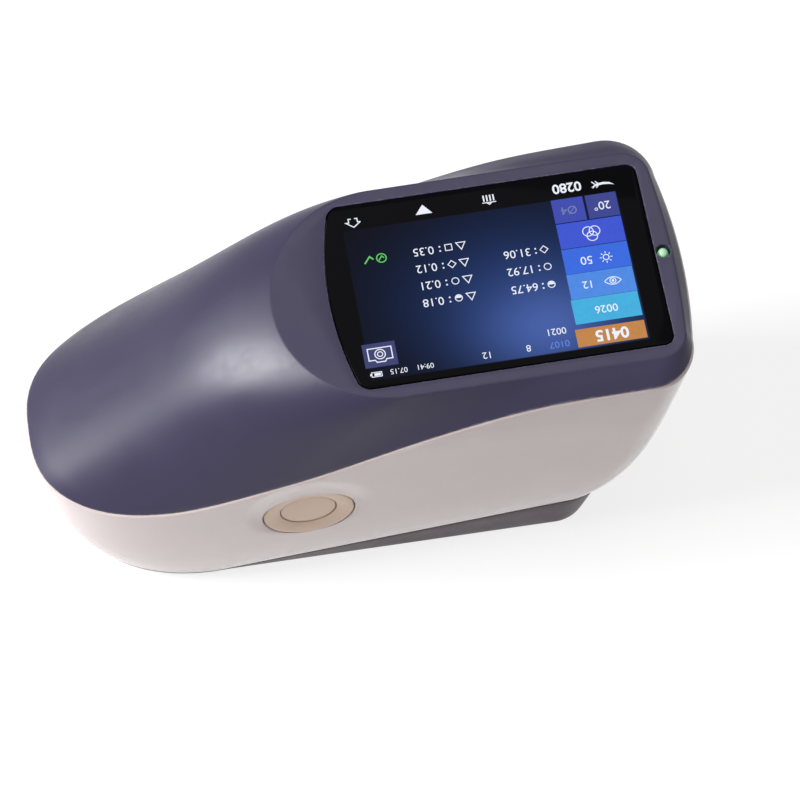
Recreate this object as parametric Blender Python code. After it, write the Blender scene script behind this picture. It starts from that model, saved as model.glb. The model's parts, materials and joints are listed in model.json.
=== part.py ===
"""Handheld colorimeter with an integrating sphere: casing, optics, electronics and controls.

Metres, +Z up. The origin is the middle of the footprint, at the level of the feet. +X runs from the
tail to the head that carries the screen, and the measure button is on the -Y side.
"""

from math import cos, pi, radians, sin, sqrt

import bmesh
import bpy
import numpy as np
from mathutils import Matrix, Vector

# Clearances and overlaps that every piece shares
FIT_GAP = 0.0003
SHAFT_GAP = 0.0003
CUT_OVERRUN = 0.0040
JOIN_OVERLAP = 0.0010
MERGE_DISTANCE = 0.0000001

# Steps round the casing outlines and round turned pieces
TAIL_STEPS = 9
SIDE_STEPS = 6
CORNER_STEPS = 5
END_STEPS = 2
ROUND_STEPS = 40
SMALL_STEPS = 12
SCREW_STEPS = 8
POST_STEPS = 8
PAD_STEPS = 24
BOW_STEPS = 8
SPHERE_STEPS = 24
SPHERE_ARC_STEPS = 6
COVER_STEPS = 9
COVER_INNER_STEPS = 6

# Casing, outer sizes
BODY_LENGTH = 0.1824
BODY_HEIGHT = 0.1040
HEAD_WIDTH = 0.0782
GRIP_WIDTH = 0.0758
FOOT_PROUD = 0.0012

# Seam between the dark cover and the pale shell: plan outline and height along the body
SEAM_TAIL_REACH = 0.0850
SEAM_TAIL_POWER_share = 2.7
SEAM_CORNER = 0.0138
SEAM_BOW = 0.0022
SEAM_LINE_shares = (
    (0.0, 0.4862), (0.088, 0.4982), (0.186, 0.5456), (0.329, 0.6546), (0.439, 0.7304),
    (0.582, 0.8435), (0.752, 0.9345), (0.889, 0.9523), (1.0, 0.9563),
)

# Pale lip that shows below the cover, widest at the head
LIP_AT_TAIL = 0.0004
LIP_AT_HEAD = 0.0006
LIP_RISE_share = 1.5
LIP_ROUND_share = 0.45

# Lower edge of the pale shell, measured inwards from the seam outline
EDGE_TAIL_INSET = 0.0098
EDGE_HEAD_INSET = 0.0202
EDGE_SIDE_INSET = 0.0080
EDGE_TAIL_REACH = 0.0405
EDGE_TAIL_POWER_share = 2.3
EDGE_CORNER = 0.0120
EDGE_BOW = 0.0004
EDGE_TAIL_HEIGHT = 0.0050
EDGE_HEAD_HEIGHT = 0.0190
EDGE_RISE_START_share = 0.258
EDGE_RISE_END_share = 0.84
WALL_LEAN_share = 0.55
WALL_ROUND_power_share = 5.0

# Underside of the base, measured inwards from the lower edge of the shell
BASE_TAIL_INSET = 0.0025
BASE_HEAD_INSET = 0.0040
BASE_SIDE_INSET = 0.0016
BASE_CORNER = 0.0110

# Flat screen deck on top of the cover
DECK_BEHIND_GLASS = 0.0199
DECK_SIDE_MARGIN = 0.0039
DECK_HEAD_SLOPE = 0.0032
DECK_TAIL_REACH = 0.0323
DECK_TAIL_POWER_share = 2.05
DECK_CORNER = 0.0075
DECK_BOW = 0.0012

# Curve of the cover from its lower edge to the deck: a straight bevel where the deck is near,
# which swells as far as the foot and the drop say where the deck is a swell's reach away
COVER_SWELL_REACH = 0.0300
COVER_FOOT = 0.0036
COVER_LEAN_share = 0.60
COVER_RISE_share = 0.54
COVER_REACH_share = 0.38
COVER_DROP_share = 0.20

# Wall thicknesses
SHELL_WALL = 0.0022
COVER_WALL = 0.0022
DECK_THICKNESS = 0.0036
DECK_INNER_INSET = 0.0016
BASE_WALL = 0.0024
BASE_FLOOR = 0.0026

# Screen: cover glass, gasket, display module and its board
GLASS_SIDE_MARGIN = 0.0022
GLASS_CORNER = 0.0026
GLASS_BOW = 0.0042
GLASS_THICKNESS = 0.0014
GLASS_FROM_DECK_HEAD = 0.0049
GLASS_RECESS = 0.0001
GASKET_THICKNESS = 0.0005
GASKET_INSET = 0.0005
DISPLAY_LENGTH = 0.0755
DISPLAY_WIDTH = 0.0510
DISPLAY_THICKNESS = 0.0030
DISPLAY_FROM_GLASS_HEAD = 0.0042
DISPLAY_FROM_GLASS_TAIL = 0.0047
DISPLAY_CORNER = 0.0010
DISPLAY_CLEARANCE = 0.0005
DISPLAY_BOARD_INSET = 0.0010
DISPLAY_BOARD_EXTRA = 0.0065
BOARD_THICKNESS = 0.0016
BOARD_TONGUE_LENGTH = 0.0080
BOARD_TONGUE_WIDTH = 0.0120
BOARD_CORNER = 0.0020

# Status light in the deck
LIGHT_RADIUS = 0.0016
LIGHT_FROM_DECK_HEAD = 0.0023
LIGHT_DOME = 0.0003
LIGHT_CHAMFER = 0.0003
LIGHT_FLANGE = 0.0006

# Measure button on the -Y side
BUTTON_FROM_TAIL = 0.0737
BUTTON_ABOVE_MIDDLE = 0.0060
BUTTON_SINK = 0.0008
BUTTON_TRAVEL = 0.0008
RING_RADIUS = 0.0127
RING_BORE = 0.0080
RING_DISH = 0.0009
RING_ROUND = 0.0004
RING_FLANGE = 0.0016
RING_FLANGE_THICKNESS = 0.0015
SCOOP_WIDTH = 0.0042
PAD_DEPTH = 0.0044
PAD_MARGIN = 0.0058
BUTTON_SET_BACK = 0.0008
BUTTON_CROWN = 0.0003
BUTTON_FLANGE = 0.0014
BUTTON_FLANGE_THICKNESS = 0.0012
BUTTON_STEM_RADIUS = 0.0025
BUTTON_STEM_LENGTH = 0.0028
SWITCH_RUN_OUT = 0.0001
SWITCH_SIDE = 0.0060
SWITCH_BODY_HEIGHT = 0.0035
SWITCH_TIP_RADIUS = 0.0017
SWITCH_TIP_HEIGHT = 0.0012
BUTTON_BOARD_LENGTH = 0.0420
BUTTON_BOARD_WIDTH = 0.0130
BUTTON_POST_SPACING = 0.0350
BUTTON_POST_RADIUS = 0.0024
STAKE_RADIUS = 0.0011
STAKE_HEAD_RADIUS = 0.0019
STAKE_HEAD_HEIGHT = 0.0009

# Feet and casing screws
FOOT_RADIUS = 0.0042
FOOT_SINK = 0.0008
FOOT_CHAMFER = 0.0004
FOOT_TAIL_FROM_TAIL = 0.0303
FOOT_TAIL_INSET = 0.0113
FOOT_HEAD_FROM_HEAD = 0.0311
FOOT_HEAD_INSET = 0.0100
SHELL_POST_RADIUS = 0.0032
SHELL_POST_FROM_TAIL = 0.0383
SHELL_POST_INSET = 0.0158
RIB_THICKNESS = 0.0030
RIB_ABOVE_EDGE = 0.0030

# Screws, by size
LARGE_SHANK = 0.00125
LARGE_HEAD_RADIUS = 0.0022
LARGE_HEAD_HEIGHT = 0.0013
LARGE_LENGTH = 0.0090
SMALL_SHANK = 0.0008
SMALL_HEAD_RADIUS = 0.0015
SMALL_HEAD_HEIGHT = 0.0009
SMALL_LENGTH = 0.0050
SOCKET_share = 0.55
SOCKET_DEPTH_share = 0.6
HEAD_EDGE_share = 0.25

# Lugs and posts that hold the cover on the shell
HEAD_LUG_FROM_HEAD = 0.0085
HEAD_LUG_INSET = 0.0211
HEAD_LUG_DROP = 0.0095
TAIL_LUG_FROM_TAIL = 0.0263
TAIL_LUG_INSET = 0.0209
TAIL_LUG_DROP = 0.0070
LUG_THICKNESS = 0.0030
LUG_HALF_WIDTH = 0.0038
COVER_POST_RADIUS = 0.0026

# Measuring port: turning aperture ring and its seat
PORT_FROM_HEAD = 0.0481
APERTURE_RADIUS = 0.0040
APERTURE_FLANGE_RADIUS = 0.0145
APERTURE_CLEARANCE = 0.0002
APERTURE_FACE_THICKNESS = 0.0006
APERTURE_FLANGE_THICKNESS = 0.0021
APERTURE_CHAMFER = 0.0005
APERTURE_NECK_RADIUS = 0.0107
APERTURE_NECK_WALL = 0.0012
APERTURE_LUG_REACH = 0.0017
APERTURE_LUG_WIDTH = 0.0050
APERTURE_LUG_HEIGHT = 0.0011
APERTURE_TURN = radians(45)
SPANNER_HOLE_RADIUS = 0.0011
SPANNER_HOLE_DEPTH = 0.0010
SPANNER_HOLE_CIRCLE = 0.0120
PORT_SEAT_RADIUS = 0.0170
PORT_SEAT_THICKNESS = 0.0020
PORT_SEAT_NOTCH_MARGIN = 0.0006

# Integrating sphere and the parts that it carries
SPHERE_SIDE_ROOM = 0.0201
SPHERE_WALL = 0.0016
SPHERE_ABOVE_APERTURE = 0.0005
SPHERE_PORT_RADIUS = 0.0070
SPHERE_FLANGE = 0.0038
SPHERE_FLANGE_THICKNESS = 0.0015
SPHERE_SCREW_INSET = 0.0018
SPHERE_SCREW_TURN = radians(45)
LAMP_BOARD_RISE = 0.0094
LAMP_BOARD_CLEARANCE = 0.0006
LAMP_POST_RADIUS = 0.0013
LAMP_POST_INSET = 0.0019
LAMP_SIZE = 0.0030
LAMP_HEIGHT = 0.0012
LAMP_COUNT = 8
VIEW_TILT = radians(8)
VIEW_BORE = 0.0042
VIEW_BOSS_RADIUS = 0.0070
VIEW_BOSS_RISE = 0.0034
BARREL_RADIUS = 0.0062
BARREL_LENGTH = 0.0078
LENS_THICKNESS = 0.0026
LENS_EDGE = 0.0010
LENS_SEAT_share = 0.35
CAMERA_FROM_PORT = 0.0085
CAMERA_BORE = 0.0026
CAMERA_SIDE = 0.0090
CAMERA_HEIGHT = 0.0050
CAMERA_TUBE_RADIUS = 0.0034

# Chassis plate with its shelf, and the spectrometer
CHASSIS_THICKNESS = 0.0020
CHASSIS_TAIL_REACH = 0.0325
CHASSIS_HEAD_REACH = 0.0242
CHASSIS_INSET = 0.0022
CHASSIS_CORNER = 0.0070
CHASSIS_POST_RADIUS = 0.0028
CHASSIS_POST_HEAD_REACH = 0.0176
CHASSIS_POST_HEAD_INSET = 0.0083
CHASSIS_POST_TAIL_REACH = 0.0280
CHASSIS_POST_TAIL_INSET = 0.0075
SPHERE_HOLE_CLEARANCE = 0.0006
SHELF_THICKNESS = 0.0016
SHELF_WIDTH = 0.0320
SHELF_WALL_REACH = 0.0270
SHELF_LENGTH = 0.0360
SPECTROMETER_LENGTH = 0.0400
SPECTROMETER_WIDTH = 0.0380
SPECTROMETER_HEIGHT = 0.0155
SPECTROMETER_WALL = 0.0016
SPECTROMETER_LID = 0.0016
SPECTROMETER_CORNER = 0.0020
ENTRANCE_RADIUS = 0.0030
GRATING_LENGTH = 0.0140
GRATING_THICKNESS = 0.0040
GRATING_HEIGHT = 0.0105
GRATING_HOLLOW_RADIUS = 0.0300
GRATING_TURN = radians(12)
DETECTOR_LENGTH = 0.0300
DETECTOR_HEIGHT = 0.0125
SENSOR_LENGTH = 0.0200
SENSOR_HEIGHT = 0.0050
SENSOR_THICKNESS = 0.0008

# Battery, main board and what stands on it
BATTERY_LENGTH = 0.0560
BATTERY_HEIGHT = 0.0200
BATTERY_FROM_TAIL = 0.0283
BATTERY_CORNER = 0.0020
BATTERY_SIDE_ROOM = 0.0008
PAD_LENGTH = 0.0260
PAD_INSET = 0.0065
PAD_THICKNESS = 0.0016
BATTERY_RIB_HEIGHT = 0.0030
BATTERY_RIB_THICKNESS = 0.0016
BATTERY_RIB_LENGTH = 0.0160
MAIN_BOARD_SIDE_MARGIN = 0.0045
MAIN_BOARD_FROM_CHASSIS = 0.0015
MAIN_BOARD_TAIL_MARGIN = 0.0100
MAIN_BOARD_HEAD_MARGIN = 0.0040
MAIN_BOARD_CORNER = 0.0120
CHIP_SIDE = 0.0120
CHIP_HEIGHT = 0.0014
CHIP_OFFSET = 0.0135
CELL_RADIUS = 0.0062
CELL_HEIGHT = 0.0020
CELL_FROM_POST = 0.0120
CELL_OFFSET = 0.0030
PLUG_LENGTH = 0.0040
PLUG_WIDTH = 0.0220
PLUG_HEIGHT = 0.0022
RIBBON_THICKNESS = 0.0004
RIBBON_WIDTH = 0.0180
RIBBON_SLACK = 0.0070

# Socket bay on the +Y side, with the power rocker
BAY_LENGTH = 0.0410
BAY_HEIGHT = 0.0160
BAY_FROM_POST = 0.0010
BAY_ABOVE_POSTS = 0.0005
BAY_LEAST_DEPTH = 0.0008
BAY_CORNER = 0.0030
PANEL_PROUD = 0.0006
PANEL_CLEARANCE = 0.0004
USB_LENGTH = 0.0120
USB_HEIGHT = 0.0109
USB_DEPTH = 0.0165
USB_MOUTH_LENGTH = 0.0086
USB_MOUTH_HEIGHT = 0.0079
USB_MOUTH_DEPTH = 0.0090
USB_TONGUE_LENGTH = 0.0056
USB_TONGUE_HEIGHT = 0.0032
JACK_LENGTH = 0.0090
JACK_HEIGHT = 0.0105
JACK_DEPTH = 0.0140
JACK_BORE = 0.0031
JACK_PIN = 0.0010
JACK_BORE_DEPTH = 0.0090
SOCKET_MARGIN = 0.0006
ROCKER_BODY_LENGTH = 0.0124
ROCKER_BODY_HEIGHT = 0.0084
ROCKER_BODY_DEPTH = 0.0100
ROCKER_RIM = 0.0012
ROCKER_RIM_THICKNESS = 0.0010
ROCKER_WALL = 0.0011
ROCKER_CLEARANCE = 0.0005
ROCKER_SWING = radians(16)
ROCKER_PROUD = 0.0012
ROCKER_CAVITY_DEPTH = 0.0072
ROCKER_BELLY = 0.0040

# Places worked out from the sizes above
HEAD_X = BODY_LENGTH / 2
TAIL_X = -BODY_LENGTH / 2
FLOOR_TOP = FOOT_PROUD + BASE_FLOOR
GLASS_LENGTH = DISPLAY_FROM_GLASS_HEAD + DISPLAY_LENGTH + DISPLAY_FROM_GLASS_TAIL
GLASS_WIDTH = DISPLAY_WIDTH + GLASS_SIDE_MARGIN * 2
DECK_WIDTH = GLASS_WIDTH + DECK_SIDE_MARGIN * 2
DISPLAY_BOARD_WIDTH = DISPLAY_WIDTH - DISPLAY_BOARD_INSET * 2
DISPLAY_BOARD_LENGTH = DISPLAY_LENGTH + DISPLAY_BOARD_EXTRA
DECK_HEAD_X = HEAD_X - DECK_HEAD_SLOPE
DECK_TAIL_X = DECK_HEAD_X - GLASS_FROM_DECK_HEAD - GLASS_LENGTH - DECK_BEHIND_GLASS
DECK_UNDERSIDE = BODY_HEIGHT - DECK_THICKNESS
GLASS_HEAD_X = DECK_HEAD_X - GLASS_FROM_DECK_HEAD
GLASS_TAIL_X = GLASS_HEAD_X - GLASS_LENGTH
GLASS_TOP = BODY_HEIGHT - GLASS_RECESS
GLASS_BOTTOM = GLASS_TOP - GLASS_THICKNESS
GASKET_TOP = GLASS_BOTTOM - FIT_GAP
LEDGE_TOP = GASKET_TOP - GASKET_THICKNESS - FIT_GAP
DISPLAY_HEAD_X = GLASS_HEAD_X - DISPLAY_FROM_GLASS_HEAD
DISPLAY_TAIL_X = DISPLAY_HEAD_X - DISPLAY_LENGTH
DISPLAY_TOP = GLASS_BOTTOM - FIT_GAP
DISPLAY_BOTTOM = DISPLAY_TOP - DISPLAY_THICKNESS
DISPLAY_BOARD_TOP = DISPLAY_BOTTOM - FIT_GAP
LIGHT_X = DECK_HEAD_X - LIGHT_FROM_DECK_HEAD
PORT_X = HEAD_X - PORT_FROM_HEAD
BUTTON_X = TAIL_X + BUTTON_FROM_TAIL
MAIN_BOARD_HEAD_X = PORT_X - CHASSIS_TAIL_REACH - MAIN_BOARD_FROM_CHASSIS
SHELL_POST_XS = (TAIL_X + SHELL_POST_FROM_TAIL, MAIN_BOARD_HEAD_X - MAIN_BOARD_HEAD_MARGIN)
MAIN_BOARD_TAIL_X = SHELL_POST_XS[0] - MAIN_BOARD_TAIL_MARGIN
SHELL_POST_SPREAD = GRIP_WIDTH / 2 - SHELL_POST_INSET
SHELL_POST_TOP = FLOOR_TOP + FIT_GAP + BATTERY_HEIGHT + FIT_GAP + PAD_THICKNESS
BATTERY_WIDTH = (SHELL_POST_SPREAD - SHELL_POST_RADIUS - BATTERY_SIDE_ROOM) * 2
MAIN_BOARD_WIDTH = (SHELL_POST_SPREAD + MAIN_BOARD_SIDE_MARGIN) * 2
MAIN_BOARD_BOTTOM = SHELL_POST_TOP + FIT_GAP
MAIN_BOARD_TOP = MAIN_BOARD_BOTTOM + BOARD_THICKNESS
PORT_SEAT_BOTTOM = FLOOR_TOP + FIT_GAP
PORT_SEAT_TOP = PORT_SEAT_BOTTOM + PORT_SEAT_THICKNESS
APERTURE_BOTTOM = APERTURE_CLEARANCE
APERTURE_LUG_BOTTOM = PORT_SEAT_TOP + FIT_GAP
APERTURE_TOP = APERTURE_LUG_BOTTOM + APERTURE_LUG_HEIGHT
SPHERE_INNER_RADIUS = HEAD_WIDTH / 2 - SPHERE_SIDE_ROOM
SPHERE_RADIUS = SPHERE_INNER_RADIUS + SPHERE_WALL
SPHERE_FLANGE_RADIUS = SPHERE_RADIUS + SPHERE_FLANGE
SPHERE_Z = APERTURE_TOP + SPHERE_ABOVE_APERTURE + SPHERE_RADIUS
CHASSIS_TOP = SPHERE_Z - FIT_GAP / 2 - SPHERE_FLANGE_THICKNESS - FIT_GAP
CHASSIS_BOTTOM = CHASSIS_TOP - CHASSIS_THICKNESS
CHASSIS_POST_TOP = CHASSIS_BOTTOM - FIT_GAP
LAMP_BOARD_BOTTOM = SPHERE_Z + LAMP_BOARD_RISE
SHELF_X = PORT_X - SHELF_WALL_REACH
BAY_TAIL_X = SHELL_POST_XS[0] + BAY_FROM_POST
BAY_HEAD_X = BAY_TAIL_X + BAY_LENGTH
BAY_BOTTOM = SHELL_POST_TOP + BAY_ABOVE_POSTS
SOCKET_BOTTOM = MAIN_BOARD_TOP + FIT_GAP
AT_PORT = Matrix.Translation((PORT_X, 0, 0))


class Outline:
    """A D-shaped plan outline: a rounded tail, straight sides and a head end with round corners."""

    def __init__(self, tail, head, half_width, reach, power, corner, bow, half_head=None):
        self.tail = tail
        self.head = head
        self.half_width = half_width
        self.half_head = half_head or half_width
        self.join = tail + reach
        self.power = power
        self.corner = corner
        self.bow = bow

    def near_side(self):
        """Points from the tail tip along the -Y side to the middle of the head end."""
        points = []
        for step in range(TAIL_STEPS + 1):
            turn = pi / 2 * step / TAIL_STEPS
            along = max(cos(turn), 0) ** (2 / self.power)
            across = sin(turn) ** (2 / self.power)
            points.append((self.join - (self.join - self.tail) * along, -self.half_width * across))
        corner_x = self.head - self.bow - self.corner
        for step in range(1, SIDE_STEPS + 1):
            share = step / SIDE_STEPS
            half = self.half_width + (self.half_head - self.half_width) * share
            points.append((self.join + (corner_x - self.join) * share, -half))
        corner_y = self.half_head - self.corner
        for step in range(1, CORNER_STEPS + 1):
            turn = pi / 2 * step / CORNER_STEPS
            points.append((corner_x + self.corner * sin(turn), -corner_y - self.corner * cos(turn)))
        for step in range(1, END_STEPS + 1):
            share = 1 - step / END_STEPS
            points.append((self.head - self.bow * share**2, -corner_y * share))
        return np.array(points)

    def points(self):
        """The whole outline, anticlockwise seen from above, from the tail tip."""
        near = self.near_side()
        far = near[-2:0:-1] * (1, -1)
        return np.vstack([near, far])


SEAM = Outline(
    TAIL_X, HEAD_X, GRIP_WIDTH / 2, SEAM_TAIL_REACH, SEAM_TAIL_POWER_share, SEAM_CORNER, SEAM_BOW,
    HEAD_WIDTH / 2,
)
EDGE = Outline(
    TAIL_X + EDGE_TAIL_INSET, HEAD_X - EDGE_HEAD_INSET, GRIP_WIDTH / 2 - EDGE_SIDE_INSET,
    EDGE_TAIL_REACH, EDGE_TAIL_POWER_share, EDGE_CORNER, EDGE_BOW, HEAD_WIDTH / 2 - EDGE_SIDE_INSET,
)
BASE = Outline(
    EDGE.tail + BASE_TAIL_INSET, EDGE.head - BASE_HEAD_INSET, EDGE.half_width - BASE_SIDE_INSET,
    EDGE_TAIL_REACH - BASE_TAIL_INSET, EDGE_TAIL_POWER_share, BASE_CORNER, EDGE_BOW,
    EDGE.half_head - BASE_SIDE_INSET,
)
DECK = Outline(
    DECK_TAIL_X, DECK_HEAD_X, DECK_WIDTH / 2, DECK_TAIL_REACH, DECK_TAIL_POWER_share, DECK_CORNER,
    DECK_BOW,
)


def smooth_through(points, at):
    """Heights at each of the places in at, on a smooth curve through (place, height) points."""
    xs, ys = np.array(points).T
    slopes = np.gradient(ys, xs)
    index = np.clip(np.searchsorted(xs, at) - 1, 0, len(xs) - 2)
    span = xs[index + 1] - xs[index]
    t = (at - xs[index]) / span
    return (
        ys[index] * (1 + 2 * t) * (1 - t) ** 2
        + ys[index + 1] * t**2 * (3 - 2 * t)
        + slopes[index] * span * t * (1 - t) ** 2
        - slopes[index + 1] * span * t**2 * (1 - t)
    )


def length_share(x):
    return (np.asarray(x) - TAIL_X) / BODY_LENGTH


def seam_height(x):
    return BODY_HEIGHT * smooth_through(SEAM_LINE_shares, length_share(x))


def edge_height(x):
    """Height of the pale shell's lower edge, which climbs from the tail to the head."""
    rise = (length_share(x) - EDGE_RISE_START_share) / (EDGE_RISE_END_share - EDGE_RISE_START_share)
    return EDGE_TAIL_HEIGHT + (EDGE_HEAD_HEIGHT - EDGE_TAIL_HEIGHT) * np.clip(rise, 0, 1)


def inset(ring, distance):
    """The ring moved inwards in plan, by one distance or by one for each point."""
    along = np.roll(ring, -1, 0)[:, :2] - np.roll(ring, 1, 0)[:, :2]
    along /= np.linalg.norm(along, axis=1)[:, None]
    inward = np.column_stack([-along[:, 1], along[:, 0]])
    moved = ring.copy()
    moved[:, :2] += inward * np.broadcast_to(distance, len(ring))[:, None]
    return moved


def raised(ring, height):
    moved = ring.copy()
    moved[:, 2] += height
    return moved


def level(ring, height):
    moved = ring.copy()
    moved[:, 2] = height
    return moved


def seam_ring():
    plan = SEAM.points()
    return np.column_stack([plan, seam_height(plan[:, 0])])


def edge_ring():
    plan = EDGE.points()
    return np.column_stack([plan, edge_height(plan[:, 0])])


def lip_widths():
    """Width of the pale lip at each point of the seam: narrow along the grip, wide at the head."""
    share = np.clip(length_share(SEAM.points()[:, 0]) * 4 - 2, 0, 1)
    return LIP_AT_TAIL + (LIP_AT_HEAD - LIP_AT_TAIL) * share**2 * (3 - 2 * share)


def rim_ring():
    """Outer edge of the shell's rim, where the cover starts."""
    lip = lip_widths()
    return raised(inset(seam_ring(), lip), lip * LIP_RISE_share)


def wall_ring(share):
    """Ring on the outside of the pale shell, from its lower edge at 0 to the seam at 1."""
    low, high = edge_ring(), seam_ring()
    left = 1 - share
    inwards = WALL_LEAN_share * left + (1 - WALL_LEAN_share) * left**WALL_ROUND_power_share
    ring = low * left + high * share
    ring[:, :2] = low[:, :2] * inwards + high[:, :2] * (1 - inwards)
    return ring


WALL_shares = (0.0, 0.04, 0.09, 0.16, 0.26, 0.42, 0.62, 0.82, 1.0)
INNER_WALL_shares = (0.0, 0.09, 0.26, 0.62, 0.985)


def half_width_at(x, z):
    """Half width of the pale shell at one place, found between its rings."""
    half = TAIL_STEPS + SIDE_STEPS + CORNER_STEPS + END_STEPS + 1
    shares = np.linspace(0, 1, 41)
    widths, heights = [], []
    for share in shares:
        ring = wall_ring(share)[:half]
        widths.append(np.interp(x, ring[:, 0], -ring[:, 1]))
        heights.append(np.interp(x, ring[:, 0], ring[:, 2]))
    return float(np.interp(z, heights, widths))


def bezier_rings(low, high, steps):
    """Rings from the cover's lower edge to its deck, which swell outwards away from the head."""
    climb = high - low
    swell = np.clip(np.linalg.norm(climb[:, :2], axis=1) / COVER_SWELL_REACH, 0, 1)
    above_low = low + climb * (COVER_LEAN_share, COVER_LEAN_share, COVER_RISE_share)
    above_low = raised(above_low, swell * COVER_FOOT)
    below_high = high - climb * COVER_REACH_share
    below_high = raised(below_high, climb[:, 2] * swell * (COVER_REACH_share - COVER_DROP_share))
    rings = []
    for t in np.linspace(0, 1, steps + 1):
        rings.append(
            low * (1 - t) ** 3
            + above_low * 3 * t * (1 - t) ** 2
            + below_high * 3 * t**2 * (1 - t)
            + high * t**3
        )
    return rings


def deck_ring():
    plan = DECK.points()
    return np.column_stack([plan, np.full(len(plan), BODY_HEIGHT)])


# Mesh helpers


def skin(mesh, rings, closed_loop=False):
    """Faces between rings of equal length, with flat caps, or with the last joined to the first."""
    made = [[mesh.verts.new(point) for point in ring] for ring in rings]
    count = len(made[0])
    pairs = list(zip(made, made[1:]))
    if closed_loop:
        pairs.append((made[-1], made[0]))
    else:
        mesh.faces.new(made[0])
        mesh.faces.new(made[-1])
    for low, high in pairs:
        for i in range(count):
            j = (i + 1) % count
            mesh.faces.new((low[i], low[j], high[j], high[i]))


def prism(mesh, outline, low, high, place=None):
    """An outline in plan, extruded from one height to another."""
    bottom = [Vector((x, y, low)) for x, y in outline]
    top = [Vector((x, y, high)) for x, y in outline]
    place = place or Matrix()
    skin(mesh, [[place @ point for point in bottom], [place @ point for point in top]])


def block(mesh, low, high, place=None):
    corners = [(low[0], low[1]), (high[0], low[1]), (high[0], high[1]), (low[0], high[1])]
    prism(mesh, corners, low[2], high[2], place)


def turned(mesh, profile, steps=ROUND_STEPS, place=None):
    """A closed profile of (radius, height) points, turned round Z."""
    place = place or Matrix()
    columns = []
    for radius, height in profile:
        if radius == 0:
            columns.append([mesh.verts.new(place @ Vector((0, 0, height)))] * steps)
            continue
        column = []
        for step in range(steps):
            turn = 2 * pi * step / steps
            column.append(
                mesh.verts.new(place @ Vector((radius * cos(turn), radius * sin(turn), height)))
            )
        columns.append(column)
    for low, high in zip(columns, columns[1:] + columns[:1]):
        for i in range(steps):
            j = (i + 1) % steps
            corners = list(dict.fromkeys((low[i], low[j], high[j], high[i])))
            if len(corners) > 2:
                mesh.faces.new(corners)


def rod(mesh, radius, low, high, place=None, steps=POST_STEPS):
    turned(mesh, [(0, low), (radius, low), (radius, high), (0, high)], steps, place)


def rounded_rectangle(x0, x1, y0, y1, corner, steps=4):
    """Anticlockwise outline with round corners."""
    centres = ((x1, y0, -1), (x1, y1, 0), (x0, y1, 1), (x0, y0, 2))
    points = []
    for x, y, quarter in centres:
        centre_x = x - corner if x == x1 else x + corner
        centre_y = y - corner if y == y1 else y + corner
        for step in range(steps + 1):
            turn = pi / 2 * (quarter + step / steps)
            points.append((centre_x + corner * cos(turn), centre_y + corner * sin(turn)))
    return points


def strip_outline(path, thickness):
    """Closed outline of a thin strip that follows a path in the XZ plane."""
    path = np.array(path)
    along = np.gradient(path, axis=0)
    along /= np.linalg.norm(along, axis=1)[:, None]
    side = np.column_stack([-along[:, 1], along[:, 0]]) * thickness / 2
    return np.vstack([path + side, (path - side)[::-1]])


ALONG_Y = Matrix.Rotation(pi / 2, 4, "X")  # turns local +Z to world -Y
ALONG_BACK = Matrix.Rotation(-pi / 2, 4, "X")  # turns local +Z to world +Y


def strip(mesh, path, thickness, width):
    """A strip that follows (x, z) points, centred on Y = 0."""
    prism(mesh, strip_outline(path, thickness), -width / 2, width / 2, ALONG_Y)


# Scene helpers


def clear_scene():
    for found in list(bpy.data.objects):
        bpy.data.objects.remove(found, do_unlink=True)


def material(name, colour, roughness, metallic=0.0, transmission=0.0):
    made = bpy.data.materials.new(name)
    made.use_nodes = True
    shader = made.node_tree.nodes["Principled BSDF"]
    shader.inputs["Base Color"].default_value = (*colour, 1)
    shader.inputs["Roughness"].default_value = roughness
    shader.inputs["Metallic"].default_value = metallic
    shader.inputs["Transmission Weight"].default_value = transmission
    made.diffuse_color = (*colour, 1)
    return made


def object_of(name, mesh, finish=None, parent=None, origin=None):
    """An object from a bmesh, with its faces turned outwards and its origin at a world point."""
    bmesh.ops.remove_doubles(mesh, verts=mesh.verts, dist=MERGE_DISTANCE)
    bmesh.ops.recalc_face_normals(mesh, faces=mesh.faces)
    if origin is not None:
        bmesh.ops.translate(mesh, verts=mesh.verts, vec=-Vector(origin))
    data = bpy.data.meshes.new(name)
    mesh.to_mesh(data)
    mesh.free()
    data.shade_smooth()
    data.set_sharp_from_angle(angle=radians(35))
    made = bpy.data.objects.new(name, data)
    bpy.context.collection.objects.link(made)
    if finish is not None:
        data.materials.append(finish)
    if origin is not None:
        made.location = origin
    if parent is not None:
        made.parent = parent
        made.matrix_parent_inverse = Matrix.Translation(-Vector(parent.location))
    return made


def helper(name, mesh):
    """A cutter or an addition, left out of the finished part."""
    made = object_of(name, mesh)
    made.hide_render = True
    made.display_type = "WIRE"
    return made


def combine(target, other, operation, overlapping=False):
    modifier = target.modifiers.new(other.name, "BOOLEAN")
    modifier.operation = operation
    modifier.solver = "EXACT"
    modifier.object = other
    modifier.use_self = overlapping


def cut(target, other, overlapping=False):
    combine(target, other, "DIFFERENCE", overlapping)


def join(target, other, overlapping=False):
    combine(target, other, "UNION", overlapping)


def keep_inside(target, other):
    combine(target, other, "INTERSECT")


# Casing


def cover_rings(inwards, steps):
    """The cover's rings from its lower edge to its deck: outer at 0, inner at 1."""
    low = raised(inset(rim_ring(), COVER_WALL * inwards), FIT_GAP)
    high = raised(inset(deck_ring(), DECK_INNER_INSET * inwards), -DECK_THICKNESS * inwards)
    return bezier_rings(low, high, steps)


def cover_core():
    """Solid that fills the casing to the middle of the cover's wall."""
    rings = cover_rings(0.5, COVER_INNER_STEPS)
    mesh = bmesh.new()
    skin(mesh, [level(rings[0], 0)] + rings)
    return helper("cover_core", mesh)


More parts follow.
